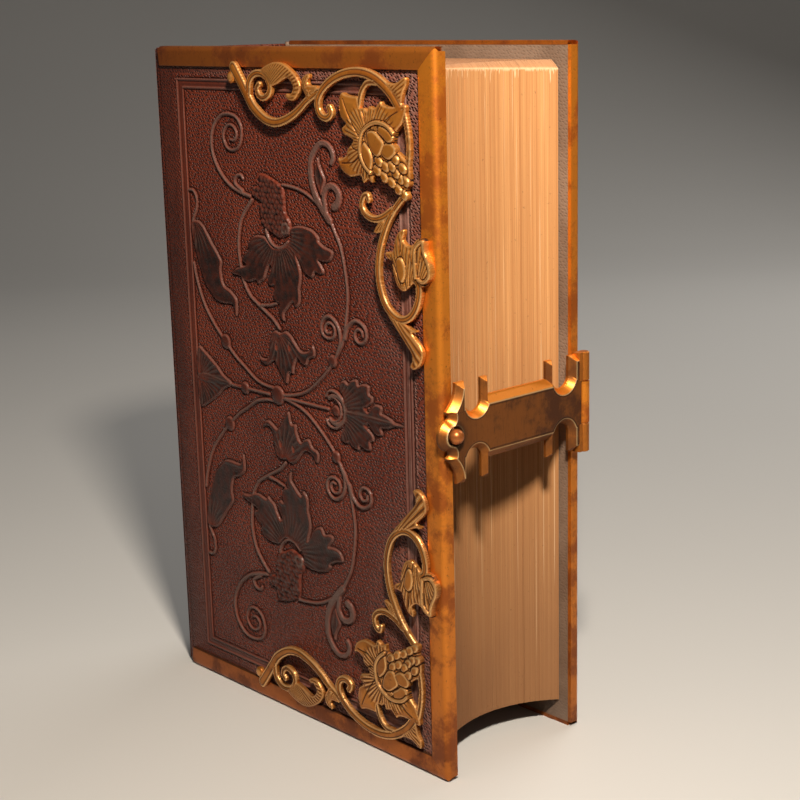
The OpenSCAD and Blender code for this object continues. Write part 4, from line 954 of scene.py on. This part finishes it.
# Catch stud: a ball turned from coppery brass on a short neck, with a small collar against the front
# fore rim that carries it. The clasp's hole goes over the ball.
stud_brass = brass("stud_brass", (0.6, 0.19, 0.045, 1), (0.27, 0.075, 0.018, 1), 0.8, 0.3)
stud_y, stud_reach, ball_radius = 1.9, 3.6, 2.1


def turned(profile, axis_point, axis, sides=48):
    axis = Vector(axis).normalized()
    across = axis.orthogonal().normalized()
    up = axis.cross(across)
    points = []
    for along, radius in profile:
        for k in range(sides):
            a = 2 * math.pi * k / sides
            spoke = across * math.cos(a) + up * math.sin(a)
            points.append(tuple(Vector(axis_point) + axis * along + spoke * radius))
    return points, grid_faces(len(profile), sides, closed=True)


profile = [(0, 1.7), (0.45, 1.65), (0.7, 1.25), (1.6, 1.15)]
for a in np.linspace(0.6, math.pi - 0.02, 22):
    profile.append((stud_reach - ball_radius * math.cos(a), ball_radius * math.sin(a)))
points, faces = turned(profile, (COVER_WIDE, stud_y, COVER_HIGH / 2), (1, 0, 0))
piece("catch_stud_ball", points, faces, stud_brass, "front_cover", ["catch_stud"], 40)

# Clasp: one thick plate of brass across the fore-edge, sawn and filed to a notched outline with a wide
# bevel, with a hole for the stud and two hinge knuckles on the back cover's side. The face is brown,
# the bevel painted bright where it faces up, as lit from above, the crest between them and the hole's
# edge rubbed and with a painted highlight, and a line scored beside the crest. Dirt and painted shade
# darken the scored line, the face round the hole and the stud end.
clasp_brass = brass("clasp_brass", (0.8, 0.26, 0.028, 1), (0.085, 0.027, 0.008, 1), 1.0, 0.38, 0.8)
clasp_end = BOOK_DEEP - 3.3
lobe, ogee, ogee_back, ogee_high, nick = 4.5, 8.1, 6.2, 13.2, 1.0
horn, horn_high, bar_high, notch_floor = 2.4, 13.8, 8.7, 5.0
near_notch, far_notch = 3.1, 3.5
plate_stand, plate_edge, plate_rise, bevel, bay_bevel, stud_hole = 0.6, 0.8, 2.0, 1.6, 2.2, 2.5
near_y, far_y = stud_y + 8.3, clasp_end - 3.3 - far_notch
bay_low, bay_high = near_y + near_notch + horn, far_y - far_notch - horn
bulge = stud_y - ogee_back + math.sqrt(ogee**2 - (ogee_high - (lobe + 2 * nick)) ** 2)
beyond = 30
clasp = Sheet((-3.2, -14.4), (52.2, 14.4), 0.14)
y, z = clasp.x[:, None], np.abs(clasp.z)[None, :]


def disc(cy, cz, r):
    return np.hypot(y - cy, z - cz) - r


def slab(y0, y1, z0, z1):
    return np.maximum(np.maximum(y0 - y, y - y1), np.maximum(z0 - z, z - z1))


def notch(middle, r):
    slot = slab(middle - r, middle + r, notch_floor + r, beyond)
    return np.minimum(disc(middle, notch_floor + r, r), slot)


sawn = np.minimum(slab(bulge, clasp_end + 8, -20, horn_high), disc(stud_y, 0, lobe))
ogee_cut = disc(stud_y - ogee_back, ogee_high, ogee)
nick_cut = disc(bulge, lobe + nick / 2, nick)
for cut in (ogee_cut, nick_cut, notch(near_y, near_notch), notch(far_y, far_notch)):
    sawn = np.maximum(sawn, -cut)
hole = stud_hole - disc(stud_y, 0, 0.0)
bay = np.maximum((bar_high - z) / bay_bevel, np.maximum(bay_low - y, y - bay_high) / bevel)
inner = np.minimum(-sawn / bevel, bay)
bay_cut = -slab(bay_low, bay_high, bar_high, beyond)
cut_out = np.maximum(np.maximum(sawn, bay_cut), np.maximum(hole, y - clasp_end))
crest, scored = soft_line(inner, -1.0, 0.06), soft_line(inner, -1.22, 0.1)
rise = plate_edge + plate_rise * np.clip(inner, 0, 1) - 0.12 * scored - 0.3 * ease(hole, -0.4, 0.0)
facing_up = np.gradient(-inner, clasp.step, axis=1) * bevel
# Painted light: bevels that face up are made bright.
wear_and_painted_light = (0.1 + 0.9 * ease(facing_up, 0.1, 0.8)) * (1 - ease(inner, 0.85, 1.0))
# Dirt and painted shade round the hole, toward the stud end and in the scored line.
soil_and_shade = (0.45 * ease(hole, -2.2, -0.3) + 0.4 * (1 - ease(y, 2.0, 14.0))) * ease(inner, 1.0, 1.25)
soil_and_shade = np.maximum(soil_and_shade, 0.75 * scored)
# Painted highlight on the crest and round the hole's edge.
crest_burnish_and_highlight = 0.6 * np.maximum(crest, soft_line(hole, 0.5, 0.12))


def across_fore_edge(p):
    return np.stack([COVER_WIDE + plate_stand + p[:, 1], p[:, 0], COVER_HIGH / 2 + p[:, 2]], 1)


values = {"wear_and_painted_light": wear_and_painted_light, "dirt_and_shade": soil_and_shade, "burnish_and_highlight": crest_burnish_and_highlight}
points, faces, values = plate(clasp, cut_out, rise, across_fore_edge, values)
points, faces = [tuple(point) for point in points], [tuple(face) for face in faces]
hinge_x, hinge_y = COVER_WIDE + 2.6, BOOK_DEEP - 1.4
barrel, bore, chamfer = 1.6, 0.85, 0.25
web = [(hinge_x - barrel, clasp_end - 1), (hinge_x, clasp_end - 1), (hinge_x + 0.9, clasp_end - 0.6),
       (hinge_x + 0.9, hinge_y - 1.25), (hinge_x - barrel, hinge_y - 0.3)]
web_inset, web_size = 0.1, len(web)
for low, high in ((-14.5, -6.2), (6.2, 14.5)):
    tube = [(low, bore), (low, barrel - chamfer), (low + chamfer, barrel), (high - chamfer, barrel),
            (high, barrel - chamfer), (high, bore), (low, bore)]
    knuckle_points, knuckle_faces = turned(tube, (hinge_x, hinge_y, COVER_HIGH / 2), (0, 0, 1))
    faces += [tuple(k + len(points) for k in face) for face in knuckle_faces]
    points += knuckle_points
    first, last = len(points), len(points) + web_size
    for level in (low + web_inset, high - web_inset):
        points += [(a, b, COVER_HIGH / 2 + level) for a, b in web]
    for k in range(web_size):
        o = (k + 1) % web_size
        faces.append((first + k, first + o, last + o, last + k))
    faces += [tuple(range(first, last))[::-1], tuple(range(last, last + web_size))]
for key, knuckle_value in (("wear_and_painted_light", 0.45), ("dirt_and_shade", 0.0), ("burnish_and_highlight", 0.0)):
    more = np.full(len(points) - len(values[key]), knuckle_value)
    values[key] = np.concatenate([values[key], more])
piece("clasp", points, faces, clasp_brass, "clasp", ["clasp_plate"], 40, values)

# Hinge leaf and pin: the back cover's half of the clasp hinge, a brass leaf with one knuckle, fixed to
# the back fore rim, and the drawn pin through all three knuckles. The CAD forms stay.
dress("hinge_leaf", rim_brass)
dress("hinge_pin", stud_brass)

# Studio: a plain pale floor that curves up behind the book, a key light from the fore-edge side, a soft
# fill and a soft back light, and a camera at the photograph's viewing angle.
floor_dark, floor_pale, floor_bounce = (0.58, 0.57, 0.555, 1), (0.62, 0.61, 0.595, 1), (0.13, 0.12, 0.11, 1)
pale_floor, tree, bsdf, where = material("studio_floor")
shade = mixed(tree, noise(tree, where, 3.0, 2.0), floor_dark, floor_pale)
path = add(tree, "ShaderNodeLightPath").outputs
mirrored = maths(tree, "MAXIMUM", path["Is Glossy Ray"], path["Is Transmission Ray"])
seen = maths(tree, "MAXIMUM", path["Is Camera Ray"], mirrored)
feed(tree, bsdf, {"Base Color": mixed(tree, seen, floor_bounce, shade), "Roughness": 0.7})
floor_near, floor_far, floor_side, sweep_round, wall_high = -2.2, 0.8, 3, 0.7, 3.0
sweep = [(floor_near, 0.0), (floor_far, 0.0)]
for a in np.linspace(0.1, math.pi / 2, 14):
    sweep.append((floor_far + sweep_round * math.sin(a), sweep_round - sweep_round * math.cos(a)))
sweep.append((floor_far + sweep_round, wall_high))
away = Vector((-0.74, 0.672, 0)).normalized()
sideways = Vector((away.y, -away.x, 0))
points = []
for d, h in sweep:
    for s in (-floor_side, floor_side):
        points.append(tuple(away * d + sideways * s + Vector((0, 0, h))))
mesh = bpy.data.meshes.new("studio_floor")
mesh.from_pydata(points, [], grid_faces(len(sweep), 2))
mesh.shade_smooth()
mesh.materials.append(pale_floor)
floor = bpy.data.objects.new("studio_floor", mesh)
bpy.context.scene.collection.objects.link(floor)


def lamp(name, place, target, size, power, colour):
    light = bpy.data.lights.new(name, "AREA")
    light.shape, light.size, light.energy, light.color = "DISK", size, power, colour
    obj = bpy.data.objects.new(name, light)
    obj.location = place
    obj.rotation_euler = (Vector(target) - Vector(place)).to_track_quat("-Z", "Y").to_euler()
    bpy.context.scene.collection.objects.link(obj)


lamp("key", (0.275, -0.185, 0.415), (0.03, 0.0, 0.1), 0.05, 3.1, (1.0, 0.89, 0.75))
lamp("fill", (-0.2, -1.1, 0.7), (0.0, 0.0, 0.1), 0.9, 0.5, (1.0, 0.96, 0.92))
lamp("back", (-0.1, 0.8, 0.7), (0.0, 0.0, 0.12), 0.7, 4.0, (1.0, 0.96, 0.9))
world = bpy.data.worlds.new("studio")
bpy.context.scene.world = world
world.use_nodes = True
feed(world.node_tree, world.node_tree.nodes["Background"], {"Color": (1.0, 0.98, 0.96, 1), "Strength": 0.07})
bpy.context.scene.view_settings.view_transform = "Standard"

camera = bpy.data.objects.new("camera", bpy.data.cameras.new("camera"))
camera.data.lens, camera.data.sensor_width, camera.data.clip_start = 72.74, 36.0, 0.01
camera_place = np.array([0.4206, -0.2841, 0.2104])
right, up = Vector((0.67694, 0.73563, -0.02462)), Vector((-0.15868, 0.17852, 0.97106))
ahead = Vector((-0.71873, 0.65344, -0.23757))
turn = Matrix((right, up, -ahead)).transposed().to_4x4()
camera.matrix_world = Matrix.Translation(Vector(BOOK_CORNER + camera_place)) @ turn
bpy.context.scene.collection.objects.link(camera)
bpy.context.scene.camera = camera
